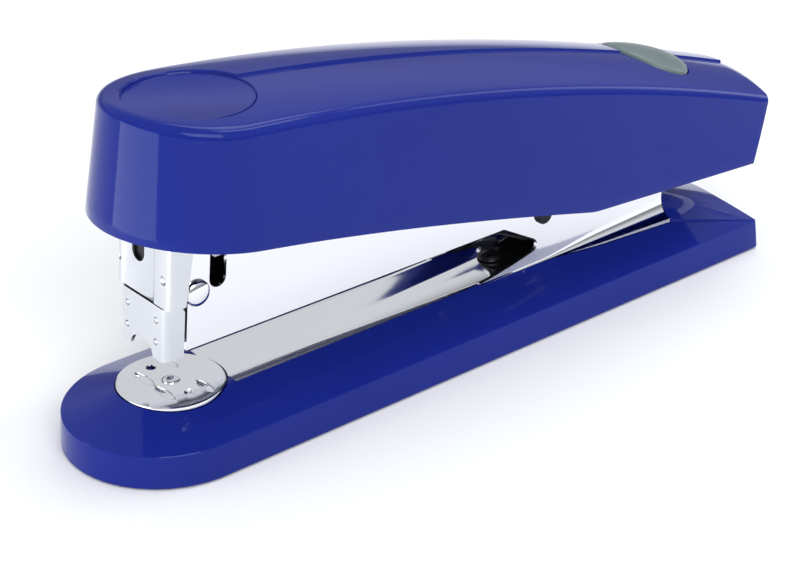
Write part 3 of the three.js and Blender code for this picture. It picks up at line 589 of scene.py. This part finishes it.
# height, half width, centre of the nose, its radius, rear end, rear corner
BASE_LEVELS = [
    (0.4, 22.7, 23.04, 22.7, BASE_END - 0.35, 1.0),
    (0.5, 22.93, 23.04, 22.93, BASE_END - 0.1, 1.2),
    (0.75, 23.03, 23.04, 23.03, BASE_END, 1.3),
    (2.6, 22.92, 23.03, 22.92, BASE_END - 0.2, 1.3),
    (5.1, 22.74, 23.01, 22.74, BASE_END - 0.5, 1.2),
    (7.62, 22.54, 23.0, 22.54, BASE_END - 0.94, 1.0),
    (7.92, 22.49, 23.0, 22.49, BASE_END - 1.02, 0.95),
    (8.09, 22.36, 23.0, 22.36, BASE_END - 1.25, 0.9),
    (8.24, 22.02, 23.05, 21.78, BASE_END - 1.8, 0.9),
    (9.8, 17.86, 23.7, 18.6, BASE_END - 6, 0.7),
    (11.4, 13.6, 24.35, 15.25, BASE_END - 10.3, 0.5),
    (12.72, 10.08, 24.9, 12.5, BASE_END - 13.8, 0.4),
    (12.87, 9.75, 25.0, 12.15, BASE_END - 14.2, 0.4),
    (12.9, 9.4, 25.0, 11.8, BASE_END - 14.6, 0.4),
]


def base_point(column, row):
    z, *level = BASE_LEVELS[row]
    x, y = base_plan(column, *level)
    return Vector((x, y, z))


base = tube(BASE_COLUMNS, len(BASE_LEVELS) - 1, base_point)
print("base faces", len(base.faces))

# %% [markdown]
# The rear end of the base rises into a hump that closes off the bright channel. It is drawn as sections: a
# steep arch in front, a shallow crown at the rear, and every section between is a mixture of those two.

# %% The hump at the rear end
HUMP_X = 170
HUMP_FRONT = [(13.3, 12.3), (12.1, 12.9), (11.0, 13.75), (10.1, 15.1), (9.5, 16.6), (9.1, 17.8), (8.2, 18.75)]
HUMP_FRONT += [(6.6, 19.15), (4, 19.4), (0, 19.5)]
HUMP_REAR = [(22.2, 8.3), (19.4, 8.75), (16.2, 9.2), (13.3, 9.6), (11.2, 9.85), (9.4, 10.1), (7.6, 10.3)]
HUMP_REAR += [(5.6, 10.55), (3.4, 10.75), (0, 10.9)]
HALF_SECTION = len(HUMP_FRONT) - 1
HUMP_STEPS = 12


def hump_point(column, row):
    way = column / HUMP_STEPS
    side = -1 if row <= HALF_SECTION else 1
    place = row if row <= HALF_SECTION else 2 * HALF_SECTION - row
    (front_y, front_z), (rear_y, rear_z) = HUMP_FRONT[place], HUMP_REAR[place]
    x = mixed(HUMP_X, BASE_END - 1.4, way)
    return Vector((x, side * mixed(front_y, rear_y, way), mixed(front_z, rear_z, way)))


hump = skin(HUMP_STEPS, 2 * HALF_SECTION, hump_point)
lowered = bmesh.ops.extrude_face_region(hump, geom=hump.faces[:])["geom"]
for vert in [g for g in lowered if isinstance(g, bmesh.types.BMVert)]:
    vert.co.z = 6.5
hump = tidied(hump)

# %% [markdown]
# The channel plate lies in a shallow pocket with a gap of a third of a millimetre, and the anvil turns in a
# round pocket in front of it. The underside is recessed for the closing plate.

# %% Pockets in the base
PLATE_TOP, PLATE_THICK = 12.5, 1.0
PLATE_SIDE = [(36, 9.3), (106.6, 9.3), (107.5, 9.8), (129, 10.1), (146, 11.9), (169.7, 13.3)]


def plate_outline(grow):
    side = [(x, y + grow) for x, y in PLATE_SIDE]
    side[0] = (side[0][0] - grow, side[0][1])
    side[-1] = (side[-1][0] + grow, side[-1][1])
    return [(x, -y) for x, y in side] + side[::-1]


plate_pocket = prism(plate_outline(GAP), "z", PLATE_TOP - PLATE_THICK - GAP, 30)
disc_pocket = turned(
    [(0, 11.5), (12.4, 11.5), (12.4, 12.75), (12.55, 12.92), (13, 13.2), (13, 30), (0, 30)],
    (DISC_X, 0, 0),
    steps=96,
)
sole_pocket = tube(
    BASE_COLUMNS,
    1,
    lambda column, row: Vector((*base_plan(column, 20.84, 23.04, 20.84, BASE_END - 2.2, 0.6), (-1, 1.95)[row])),
)
base = cut(joined(base, hump), plate_pocket, disc_pocket, sole_pocket)
made(base, "moulded_base", "base_shell", smooth=24)

# %% [markdown]
# ## The channel plate
# One bent sheet: a flat plate, two upright flanges, and feet that flare outwards towards the rear through a
# hollow curve. Each flange is a tube whose section changes along its length, trimmed by its side outline.

# %% Flared flanges
FLANGE_OUTER, FLANGE_INNER = 9.8, 8.85
FLANGE_FROM, FLANGE_TO = 107.4, 169.7
FLARE_STEPS = 8


def foot_width(x):
    for (x0, y0), (x1, y1) in zip(PLATE_SIDE[2:], PLATE_SIDE[3:]):
        if x <= x1:
            return mixed(y0, y1, (x - x0) / (x1 - x0))
    return PLATE_SIDE[-1][1]


def flange_section(x):
    foot = foot_width(x) + 0.02
    flare = foot - FLANGE_OUTER
    rise = 0.3 + 1.35 * flare
    points = [(foot, PLATE_TOP - 0.2)]
    for step in range(FLARE_STEPS + 1):
        angle = math.pi / 2 * step / FLARE_STEPS
        points.append((foot - flare * math.sin(angle), PLATE_TOP + rise * (1 - math.cos(angle))))
    points += [(FLANGE_OUTER, 31.5), (FLANGE_INNER, 31.5), (FLANGE_INNER, PLATE_TOP + 0.9)]
    points += [(FLANGE_INNER - 0.3, PLATE_TOP + 0.25), (FLANGE_INNER - 0.9, PLATE_TOP - 0.02)]
    return points + [(FLANGE_INNER - 1.2, PLATE_TOP - 0.5), (FLANGE_INNER - 1.2, 11.5), (foot, 11.5)]


def flange(side):
    count = len(flange_section(120))

    def point(column, row):
        x = mixed(FLANGE_FROM, FLANGE_TO, row / 24)
        y, z = flange_section(x)[column % count]
        return Vector((x, side * y, z))

    return tube(count, 24, point)


FLANGE_OUTLINE = [
    (106, 10), (106, 12.7), (108, 13.0), (110.8, 13.4), (117.5, 14.6), (123.9, 16), (124.9, 16.4),
    (125.5, 17.1), (125.7, 18), (125.4, 18.8), (124.6, 19.6), (114.6, 25.1), (104.7, 31), (104.7, 40),
    (180, 40), (180, 10),
]
plate = prism(plate_outline(0), "z", PLATE_TOP - PLATE_THICK, PLATE_TOP)
softened(plate, sharp_edges(plate), 0.12)
channel = plate
for side in (-1, 1):
    trimmed = worked(flange(side), "INTERSECT", prism(FLANGE_OUTLINE, "y", -20, 20))
    channel = joined(channel, trimmed)
HINGE = Vector((127.3, 0, 25.3))
channel = cut(
    channel,
    disc(12.5, 5, 20, (DISC_X, 0, 0), steps=96),
    disc(2.3, -20, 20, HINGE, TOWARDS_FAR),
    disc(1.8, 5, 20, (119, 0, 0)),
    disc(1.8, 5, 20, (160, 0, 0)),
)
made(channel, "channel_plate", "base_channel", smooth=30)

# %% [markdown]
# Screws and rivets are turned. The screw heads get a driver slot, and the hinge rivets are domed and black.

# %% Screws and hinge rivets
for end, x in (("front", 119), ("rear", 160)):
    head = turned(
        [(0, 6), (1.5, 6), (1.5, PLATE_TOP + GAP), (3, PLATE_TOP + GAP), (3, 13.1), (2.5, 13.7), (1.4, 14), (0, 14.1)],
        (x, 0, 0),
    )
    head = cut(head, prism([(x - 4, -0.35), (x + 4, -0.35), (x + 4, 0.35), (x - 4, 0.35)], "z", 13.5, 15))
    made(head, f"plate_screw_{end}", f"channel_screw_{end}", wears="black_steel")
for name, turn in (("left", TOWARDS_FAR), ("right", TOWARDS_NEAR)):
    rivet = turned(
        [(0, 7.65), (2.2, 7.65), (2.2, 10.1), (2.3, 10.15), (2.3, 10.5), (2.1, 10.8), (1.5, 10.95), (0, 11)],
        HINGE,
        turn,
    )
    made(rivet, f"hinge_rivet_head_{name}", f"hinge_rivet_{name}")

# %% [markdown]
# The lift spring is a blackened leaf, flat on the plate behind and rising in an easy curve to the arm.

# %% The lift spring
LEAF = [(152, 12.8), (145, 12.8), (138.5, 12.82), (135.5, 13.05), (133, 13.8), (125, 17.8), (118, 21.3)]
LEAF += [(116, 22.2), (114.2, 22.8), (112.6, 22.98), (111, 22.85)]


def leaf_point(column, row):
    x, z = LEAF[row]
    y, lift = [(-7, 0), (7, 0), (7, 0.6), (-7, 0.6)][column % 4]
    return Vector((x, y, z + lift))


leaf = tube(4, len(LEAF) - 1, leaf_point)
softened(leaf, sharp_edges(leaf, 60), 0.12)
leaf_piece = made(leaf, "leaf_spring", "lift_spring", smooth=40)
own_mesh(leaf_piece)

# %% [markdown]
# ## The anvil
# A thick plated disc. Two lens-shaped grooves face inwards and two outwards, so that half a turn changes a
# closed staple into a pin; two small holes take the tool that turns it, and the rivet in its middle is dimpled.

# %% The anvil disc and its rivet
DISC_TOP = 13.0
disc_underside = [(1.95, 11.8), (11.9, 11.8), (12.1, 12.0)]
disc_rounded_rim = [(12.1, 12.62), (12.02, 12.84), (11.8, 12.98), (11.5, 13.0)]
disc_bore = [(2.05, 13.0), (1.95, 12.9), (1.95, 11.8)]
plate_disc = turned(
    disc_underside + disc_rounded_rim + disc_bore,
    (DISC_X, 0, 0),
    steps=96,
)


def lens(x, y, half_x, half_y, deep):
    bm = bmesh.new()
    bmesh.ops.create_uvsphere(bm, u_segments=32, v_segments=20, radius=1)
    bm.transform(Matrix.Translation((x, y, DISC_TOP)) @ Matrix.Diagonal((half_x, half_y, deep, 1)))
    return bm


grooves = [lens(DISC_X - 4.2, 3.9 * side, 1.15, 3.8, 0.75) for side in (-1, 1)]
grooves += [lens(DISC_X + 4.2, 7.0 * side, 1.15, 3.4, 0.75) for side in (-1, 1)]
far_hole = turned([(0, 5), (1.0, 5), (1.0, 12.8), (1.25, 13.05), (1.25, 14), (0, 14)], (DISC_X - 0.3, 7.3, 0))
near_hole = turned([(0, 12.4), (0.7, 12.45), (1.1, 12.8), (1.3, 13.05), (1.3, 14), (0, 14)], (DISC_X + 0.2, -7, 0))
plate_disc = cut(plate_disc, *grooves, far_hole, near_hole)
made(plate_disc, "anvil_plate", "anvil_disc", smooth=24)
anvil_rivet = turned(
    [
        (0, 7.3), (1.5, 7.3), (1.5, 11.3), (1.8, 11.6), (1.85, 12.95), (1.75, 13.12), (1.5, 13.22), (1.15, 13.2),
        (0.9, 13.05), (0.6, 12.85), (0, 12.78),
    ],
    (DISC_X, 0, 0),
)
made(anvil_rivet, "anvil_rivet_head", "anvil_rivet")

# %% [markdown]
# ## The arm
# The arm is a folded sheet: two side plates joined along the top, each with its lower edge bent inwards
# through a round bend. The bend is what draws the bright and dark lines along the bottom of the plate.

# %% The folded arm
ARM_HALF, ARM_SHEET = 8.5, 0.9
ARM_FOOT = 24.3
LEAN = math.tan(math.radians(5.2))
NOSE_X, NOSE_LEVEL = 19.23, 34.4
SLOT_X, SLOT_TOP, SLOT_FOOT, SLOT_HALF = 33.15, 53, 38.75, 2.15


def leaned(x, z):
    return x + (z - NOSE_LEVEL) * LEAN


def round_points(x, z, radius, start, end, steps=8):
    angles = [math.radians(mixed(start, end, i / steps)) for i in range(steps + 1)]
    return [(x + radius * math.cos(a), z + radius * math.sin(a)) for a in angles]


ARM_OUTLINE = [(leaned(24.9, ARM_FOOT), ARM_FOOT), (118, ARM_FOOT), (122.6, 24.3)]
ARM_OUTLINE += round_points(HINGE.x, HINGE.z, 4.6, 200, 315)
ARM_OUTLINE += [(152, 33), (152, 44), (146, 46.5), (41, 54), (38, 57), (leaned(22.6, 57), 57)]
ARM_OUTLINE += [(leaned(22.6, 36.2), 36.2), (leaned(24.9, 36.2), 36.2)]
arm = prism(ARM_OUTLINE, "y", -ARM_HALF, ARM_HALF)
long_edges = [
    e
    for e in arm.edges
    if all(abs(v.co.z - ARM_FOOT) < 1e-3 for v in e.verts) and abs(e.verts[0].co.x - e.verts[1].co.x) > 50
]
softened(arm, long_edges, 1.3, 8)
hollow = [(10, 25.1), (10, 70), (44, 70), (44, 52.8), (130, 46.6), (130, 60), (160, 60), (160, 35), (151, 35)]
hollow += [(151, 25.1)]
upper_hollow = prism(hollow, "y", ARM_SHEET - ARM_HALF, ARM_HALF - ARM_SHEET)
lower_hollow = prism([(10, 10), (10, 26), (160, 26), (160, 10)], "y", -6, 6)
rear_hollow = prism([(117, 10), (117, 26), (160, 26), (160, 10)], "y", ARM_SHEET - ARM_HALF, ARM_HALF - ARM_SHEET)


def driver_slot():
    low = (leaned(SLOT_X, SLOT_FOOT) - (42 - NOSE_LEVEL) * LEAN, SLOT_FOOT)
    high = (leaned(SLOT_X, SLOT_TOP) - (42 - NOSE_LEVEL) * LEAN, SLOT_TOP)
    tilt = math.degrees(math.atan2(high[1] - low[1], high[0] - low[0]))
    outline = round_points(*low, SLOT_HALF, tilt + 90, tilt + 270, 12)
    outline += round_points(*high, SLOT_HALF, tilt - 90, tilt + 90, 12)
    return prism(outline, "y", -20, 20)


arm = cut(
    arm,
    upper_hollow,
    lower_hollow,
    rear_hollow,
    driver_slot(),
    disc(2.3, -20, 20, HINGE, TOWARDS_FAR),
    disc(2.3, -20, 20, (146, 0, 40), TOWARDS_FAR),
)
made(arm, "folded_arm", "arm_housing", smooth=30)

# %% [markdown]
# ## The nose
# Two pieces of bent sheet make the nose. The upper one is fixed and guides the driver; its side straps wrap
# round the corners and stand a little proud of the middle panel. The lower one belongs to the magazine and
# slides out with it.

# %% Bent sheet for the nose
BEND = 1.5
NOSE_SHEET = 0.9


def bent_outline(half, back_x, panel=None):
    x, y = NOSE_X + BEND, half - BEND
    front = round_points(x, y, BEND, 90, 180)
    if panel:
        low, high, deep = panel
        front += [(NOSE_X, high + 0.5), (NOSE_X + deep * 0.3, high + 0.2), (NOSE_X + deep, high - 0.25)]
        front += [(NOSE_X + deep, low + 0.25), (NOSE_X + deep * 0.3, low - 0.2), (NOSE_X, low - 0.5)]
    front += round_points(x, -y, BEND, 180, 270)
    inner = round_points(x, -y, BEND - NOSE_SHEET, 270, 180) + round_points(x, y, BEND - NOSE_SHEET, 180, 90)
    return [(back_x, half)] + front + [(back_x, -half), (back_x, NOSE_SHEET - half)] + inner + [
        (back_x, half - NOSE_SHEET)
    ]


def leaning(bm):
    bmesh.ops.transform(
        bm,
        matrix=Matrix(((1, 0, LEAN, -NOSE_LEVEL * LEAN), (0, 1, 0, 0), (0, 0, 1, 0), (0, 0, 0, 1))),
        verts=bm.verts,
    )
    return bm


def dimple(y, z, radius, deep):
    bm = bmesh.new()
    bmesh.ops.create_uvsphere(bm, u_segments=24, v_segments=16, radius=radius)
    centre = Vector((leaned(NOSE_X, z) - radius + deep, y, z))
    bm.transform(Matrix.Translation(centre))
    return bm


GUIDE_LOW, GUIDE_TOP = 35.5, 57
guide = leaning(prism(bent_outline(10.2, 28, (-3.9, 7.7, 0.35)), "z", GUIDE_LOW, GUIDE_TOP))
window = prism(
    round_points(2.4, 50, 2.3, 0, 180, 16) + round_points(2.4, 44.9, 2.3, 180, 360, 16), "x", 12, 24
)
rear_trim = prism([(23.4, 35), (28.1, GUIDE_TOP), (40, GUIDE_TOP + 1), (40, 35)], "y", -12, 12)
marks = [dimple(-7.4, 41.8, 1.5, 0.45), dimple(9.2, 41.6, 1.5, 0.45), dimple(9.3, 49.5, 1.5, 0.45)]
guide = cut(guide, window, rear_trim, *marks)
made(guide, "upper_nose", "nose_guide", smooth=30, wears="shaded_nose_plating")

# %% [markdown]
# The lower nose has the arched notch through which the staple leaves, four coined dimples that hold the front
# to its folded sides, and one clipped corner.

# %% The lower nose
PLATE_LOW, PLATE_HIGH = 23, 35.2
lower_nose = leaning(prism(bent_outline(ARM_HALF, 24.3), "z", PLATE_LOW, PLATE_HIGH))
notch = [(-4.2, 20), (-4.2, 23.4), (-3.7, 24.5), (-3.2, 25.2), (-2.7, 25.7), (2.7, 25.7), (3.2, 25.2)]
notch += [(3.7, 24.5), (4.2, 23.4), (4.2, 20)]
clip = prism([(6.4, 20), (6.4, 22.9), (8.0, 24.8), (12, 25), (12, 20)], "x", 12, 20.6)
coins = [dimple(y, z, 0.95, 0.4) for y in (5.65, -5.2) for z in (31.95, 26.95)]
corner = prism([(22.8, 35.3), (26, 35.3), (26, 33), (24.4, 33.3)], "y", -12, 12)
lower_nose = cut(lower_nose, prism(notch, "x", 14, 22), clip, corner, *coins)
made(lower_nose, "lower_nose", "nose_plate", smooth=30, wears="shaded_nose_plating")

# %% [markdown]
# The big rivets that hold the upper nose are turned with a high, mirror-like dome.

# %% Nose rivets
for name, turn in (("left", TOWARDS_FAR), ("right", TOWARDS_NEAR)):
    profile = [(0, 7.6), (1.5, 7.6), (1.5, 8.8), (2.85, 8.8), (3.0, 8.92)]
    profile += [(3.0 * math.cos(a), 8.92 + 1.15 * math.sin(a)) for a in [math.pi / 2 * i / 8 for i in range(1, 8)]]
    made(
        turned(profile + [(0, 10.07)], (27.4, 0, 37), turn),
        f"nose_rivet_dome_{name}",
        f"nose_rivet_{name}",
        smooth=50,
    )

# %% [markdown]
# ## Inside the magazine
# These show when the magazine is drawn out: a bent channel, a strip of real staples, the pusher that slides on
# its rod, and the long spring behind it.

# %% The magazine channel
CHANNEL_HALF, CHANNEL_SHEET, CHANNEL_FOOT, CHANNEL_TOP, CHANNEL_REAR = 7.3, 0.6, 25.4, 34.4, 138.5
tray = prism(
    rectangle(-CHANNEL_HALF, CHANNEL_FOOT, CHANNEL_HALF, CHANNEL_TOP),
    "x",
    20.7,
    CHANNEL_REAR,
)
foot_bends = [
    e
    for e in tray.edges
    if all(abs(v.co.z - CHANNEL_FOOT) < 1e-3 for v in e.verts) and abs(e.verts[0].co.x - e.verts[1].co.x) > 50
]
softened(tray, foot_bends, 0.8, 6)
wall = CHANNEL_HALF - CHANNEL_SHEET
trough = prism([(10, 26), (10, 50), (CHANNEL_REAR - 1.2, 50), (CHANNEL_REAR - 1.2, 26)], "y", -wall, wall)
front_room = prism([(15, 20), (15, 50), (21.1, 50), (21.1, 20)], "y", -wall, wall)
catch = prism([(137.3, 33.4), (137.3, 35.3), (CHANNEL_REAR, 35.3), (CHANNEL_REAR, 33.4)], "y", -3, 3)
ROD_Z = 29.3
tray = joined(cut(tray, trough, front_room, disc(1.5, 130, 145, (0, 0, ROD_Z), TOWARDS_REAR)), catch)
softened(tray, sharp_edges(tray, 60), 0.1)
made(tray, "magazine_tray", "magazine_channel", smooth=40)

# %% [markdown]
# One staple is a crown and two legs of square wire, cut from a flat outline. The strip repeats it by duplicate
# and translate, one wire apart, with a hair's breadth between neighbours.

# %% A strip of staples
WIRE = 0.5
PITCH = 0.545
STRIP_FROM, STRIP_TO = 21.6, 61.6
LEG_FOOT, CROWN_TOP, STAPLE_HALF = 26.3, 32.8, 6.4
staple_outline = [(-STAPLE_HALF, LEG_FOOT), (-STAPLE_HALF, CROWN_TOP - 0.3), (-STAPLE_HALF + 0.3, CROWN_TOP)]
staple_outline += [(STAPLE_HALF - 0.3, CROWN_TOP), (STAPLE_HALF, CROWN_TOP - 0.3), (STAPLE_HALF, LEG_FOOT)]
staple_outline += [(STAPLE_HALF - 0.55, LEG_FOOT), (STAPLE_HALF - 0.55, CROWN_TOP - 0.55)]
staple_outline += [(0.55 - STAPLE_HALF, CROWN_TOP - 0.55), (0.55 - STAPLE_HALF, LEG_FOOT)]
strip = prism(staple_outline, "x", STRIP_FROM, STRIP_FROM + WIRE)
first = strip.verts[:] + strip.edges[:] + strip.faces[:]
staples = int((STRIP_TO - STRIP_FROM) / PITCH)
for number in range(1, staples):
    copy = bmesh.ops.duplicate(strip, geom=first)["geom"]
    moved = [g for g in copy if isinstance(g, bmesh.types.BMVert)]
    bmesh.ops.translate(strip, verts=moved, vec=(number * PITCH, 0, 0))
made(strip, "staples", "staple_strip", smooth=20)
print("staples in the strip:", staples)

# %% [markdown]
# The short kick-out spring keeps its shape.
#
# The pusher is a small block with broken edges and a bore for the rod. Springs are one circle of wire, spun
# about their axis while it moves along: `spin` takes that movement as `dvec`.

# %% Pusher, rod and springs
PUSHER_FROM, PUSHER_TO = 61.9, 75.9
PUSHER_HALF = 6.2
pusher_side = [(PUSHER_FROM, LEG_FOOT), (PUSHER_TO, LEG_FOOT), (PUSHER_TO, 30.6)]
pusher_side += [(73.4, CROWN_TOP), (PUSHER_FROM, CROWN_TOP)]
block = prism(pusher_side, "y", -PUSHER_HALF, PUSHER_HALF)
softened(block, sharp_edges(block, 20), 0.35, 3)
block = cut(block, disc(1.5, 55, 80, (0, 0, ROD_Z), TOWARDS_REAR))
made(block, "staple_pusher", "pusher", smooth=30)
rod = turned([(0, 23), (0.9, 23), (1.2, 23.3), (1.2, 139.7), (0.9, 140), (0, 140)], (0, 0, ROD_Z), TOWARDS_REAR, 32)
made(rod, "guide_rod", "pusher_rod")


def coil(radius, wire, turns, low, high, centre, turn, sides=10):
    bm = bmesh.new()
    ring = bmesh.ops.create_circle(bm, segments=sides, radius=wire / 2)["verts"]
    bm.transform(Matrix.Translation((radius, 0, low + wire / 2)) @ Matrix.Rotation(math.pi / 2, 4, "X"))
    steps = round(turns * 24)
    bmesh.ops.spin(
        bm,
        geom=ring + bm.edges[:],
        cent=(0, 0, 0),
        axis=(0, 0, 1),
        dvec=(0, 0, (high - low - wire) / steps),
        angle=2 * math.pi * turns,
        steps=steps,
        use_merge=False,
    )
    bm.transform(Matrix.Translation(centre) @ turn)
    return capped(tidied(bm))


long_spring = coil(2.4, 0.6, 17, 76.3, 136.9, (0, 0, ROD_Z), TOWARDS_REAR)
long_piece = made(long_spring, "long_spring", "pusher_spring", smooth=60)
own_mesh(long_piece)
made(coil(3.2, 0.7, 4, 139.2, 150.2, (0, 0, 31), TOWARDS_REAR), "kick_out_spring", "eject_spring", smooth=60)
RETURN_LOW, RETURN_HIGH = (corner.z for corner in span("return_spring"))
return_coil = coil(5, 1.1, 6, RETURN_LOW, RETURN_HIGH, (84, 0, 0), UPRIGHT)
return_piece = made(return_coil, "cover_return_spring", "return_spring", smooth=60)
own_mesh(return_piece)
button_coil = coil(3.4, 0.6, 2.5, -4.45, -1.5, (0, 0, 0), UPRIGHT)
button_coil.transform(AT_BUTTON)
button_piece = made(button_coil, "button_return_spring", "button_spring", smooth=60)
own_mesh(button_piece)

# %% [markdown]
# ## Underneath
# Two rubber pads carry the stapler. Each is a thin slab with broken edges and grip grooves across it.

# %% Foot pads
GROOVE_PITCH, GROOVE_HALF_WIDTH, GROOVE_HALF_LENGTH, GROOVE_DEPTH = 3, 0.5, 12.5, 0.3
for end in ("front", "rear"):
    low, high = span(f"foot_pad_{end}")
    slab = prism(rectangle(low.x, low.y, high.x, high.y), "z", low.z, high.z)
    corners = [e for e in slab.edges if abs(e.verts[0].co.z - e.verts[1].co.z) > 0.5]
    softened(slab, corners, 3, 8)
    count = int((high.x - low.x) / GROOVE_PITCH) - 1
    first_x = (low.x + high.x) / 2 - (count - 1) * GROOVE_PITCH / 2
    grooves = []
    for i in range(count):
        x = first_x + GROOVE_PITCH * i
        across = rectangle(x - GROOVE_HALF_WIDTH, -GROOVE_HALF_LENGTH, x + GROOVE_HALF_WIDTH, GROOVE_HALF_LENGTH)
        grooves.append(prism(across, "z", -1, GROOVE_DEPTH))
    made(cut(slab, *grooves), f"grip_pad_{end}", f"foot_pad_{end}", smooth=30)

# %% [markdown]
# ## Stage, camera and light
# A flat pale floor without gloss, a bright room to be mirrored in the plating, and soft boxes whose
# reflections draw the shape of the cover and the base.

# %% The floor
bm = bmesh.new()
bmesh.ops.create_grid(bm, x_segments=1, y_segments=1, size=6)
floor = as_object(bm, "floor")
paper = finish("pale_floor", (0.9, 0.9, 0.91), (0.5, 0.6), 6, 300, 0.01, shift=0.01)
paper.node_tree.nodes["Principled BSDF"].inputs["Specular IOR Level"].default_value = 0
floor.data.materials.append(paper)

# %% [markdown]
# The camera stands in front of the nose on the near side and looks down on the stapler.

# %% The camera
camera_data = bpy.data.cameras.new("camera")
camera_data.lens = 85.586
camera_data.sensor_width = 36
camera_data.clip_start = 0.01
camera = bpy.data.objects.new("camera", camera_data)
bpy.context.scene.collection.objects.link(camera)
CAMERA_YAW, CAMERA_PITCH = 0.871, 0.478
camera.location = (FRONT - 0.1678, -0.30656, 0.22181)
camera.rotation_euler = (math.pi / 2 - CAMERA_PITCH, 0, CAMERA_YAW - math.pi / 2)
bpy.context.scene.camera = camera
bpy.context.scene.view_settings.view_transform = "Standard"

# %% [markdown]
# The room is pale overhead and dimmer towards the horizon, so plating that faces up looks bright and upright
# gloss walls keep their colour.

# %% The room
world = bpy.data.worlds.new("room")
bpy.context.scene.world = world
world.use_nodes = True
room = world.node_tree
direction, parts = room.nodes.new("ShaderNodeTexCoord"), room.nodes.new("ShaderNodeSeparateXYZ")
rise = room.nodes.new("ShaderNodeMapRange")
rise.interpolation_type = "SMOOTHSTEP"
for socket, value in (("From Min", 0.1), ("From Max", 0.42), ("To Min", 0.28), ("To Max", 0.72)):
    rise.inputs[socket].default_value = value
room.links.new(direction.outputs["Generated"], parts.inputs["Vector"])
room.links.new(parts.outputs["Z"], rise.inputs["Value"])
room.links.new(rise.outputs["Result"], room.nodes["Background"].inputs["Strength"])
room.nodes["Background"].inputs["Color"].default_value = (0.95, 0.97, 1, 1)

# %% [markdown]
# Each soft box is an area light. Its brightness is written as the brightness of its face, because that is what
# gloss plastic mirrors; the power that Blender asks for is that times pi times the area.


# %% Soft boxes
def soft_box(name, place, turn, width, height, brightness):
    data = bpy.data.lights.new(name, "AREA")
    data.shape = "RECTANGLE"
    data.size = width
    data.size_y = height
    data.energy = brightness * math.pi * width * height
    box = bpy.data.objects.new(name, data)
    bpy.context.scene.collection.objects.link(box)
    box.location = place
    box.rotation_euler = turn
    return box


def aimed(place, at=(0, 0, 0.04)):
    return (Vector(at) - Vector(place)).to_track_quat("-Z", "Y").to_euler()


soft_box("overhead", (0.574, 0.404, 1.0), (0, 0, math.radians(23.7)), 0.62, 0.5, 2.6)
FILL = (-0.5, -1.3, 1.2)
soft_box("fill", FILL, aimed(FILL), 1.2, 0.8, 4.8)

# %% [markdown]
# Three smaller boxes draw the shape. Two hang above and behind the rear end, and the near upper edge of the
# cover mirrors them as one line. The last stands low in front, and the round nose mirrors it as a soft band.

# %% The edge boxes and the nose box
soft_box("edge_box", (0.5, -0.2, 1.0), (0, 0, 0), 0.6, 0.3, 4)
REAR_BOX = (1.08, -0.13, 0.62)
soft_box("rear_edge_box", REAR_BOX, aimed(REAR_BOX), 0.3, 0.85, 2)
NOSE_BOX = (-0.24, 0.034, 0.042)
soft_box("nose_box", NOSE_BOX, aimed(NOSE_BOX, (0, 0.034, 0.042)), 0.17, 0.08, 3)
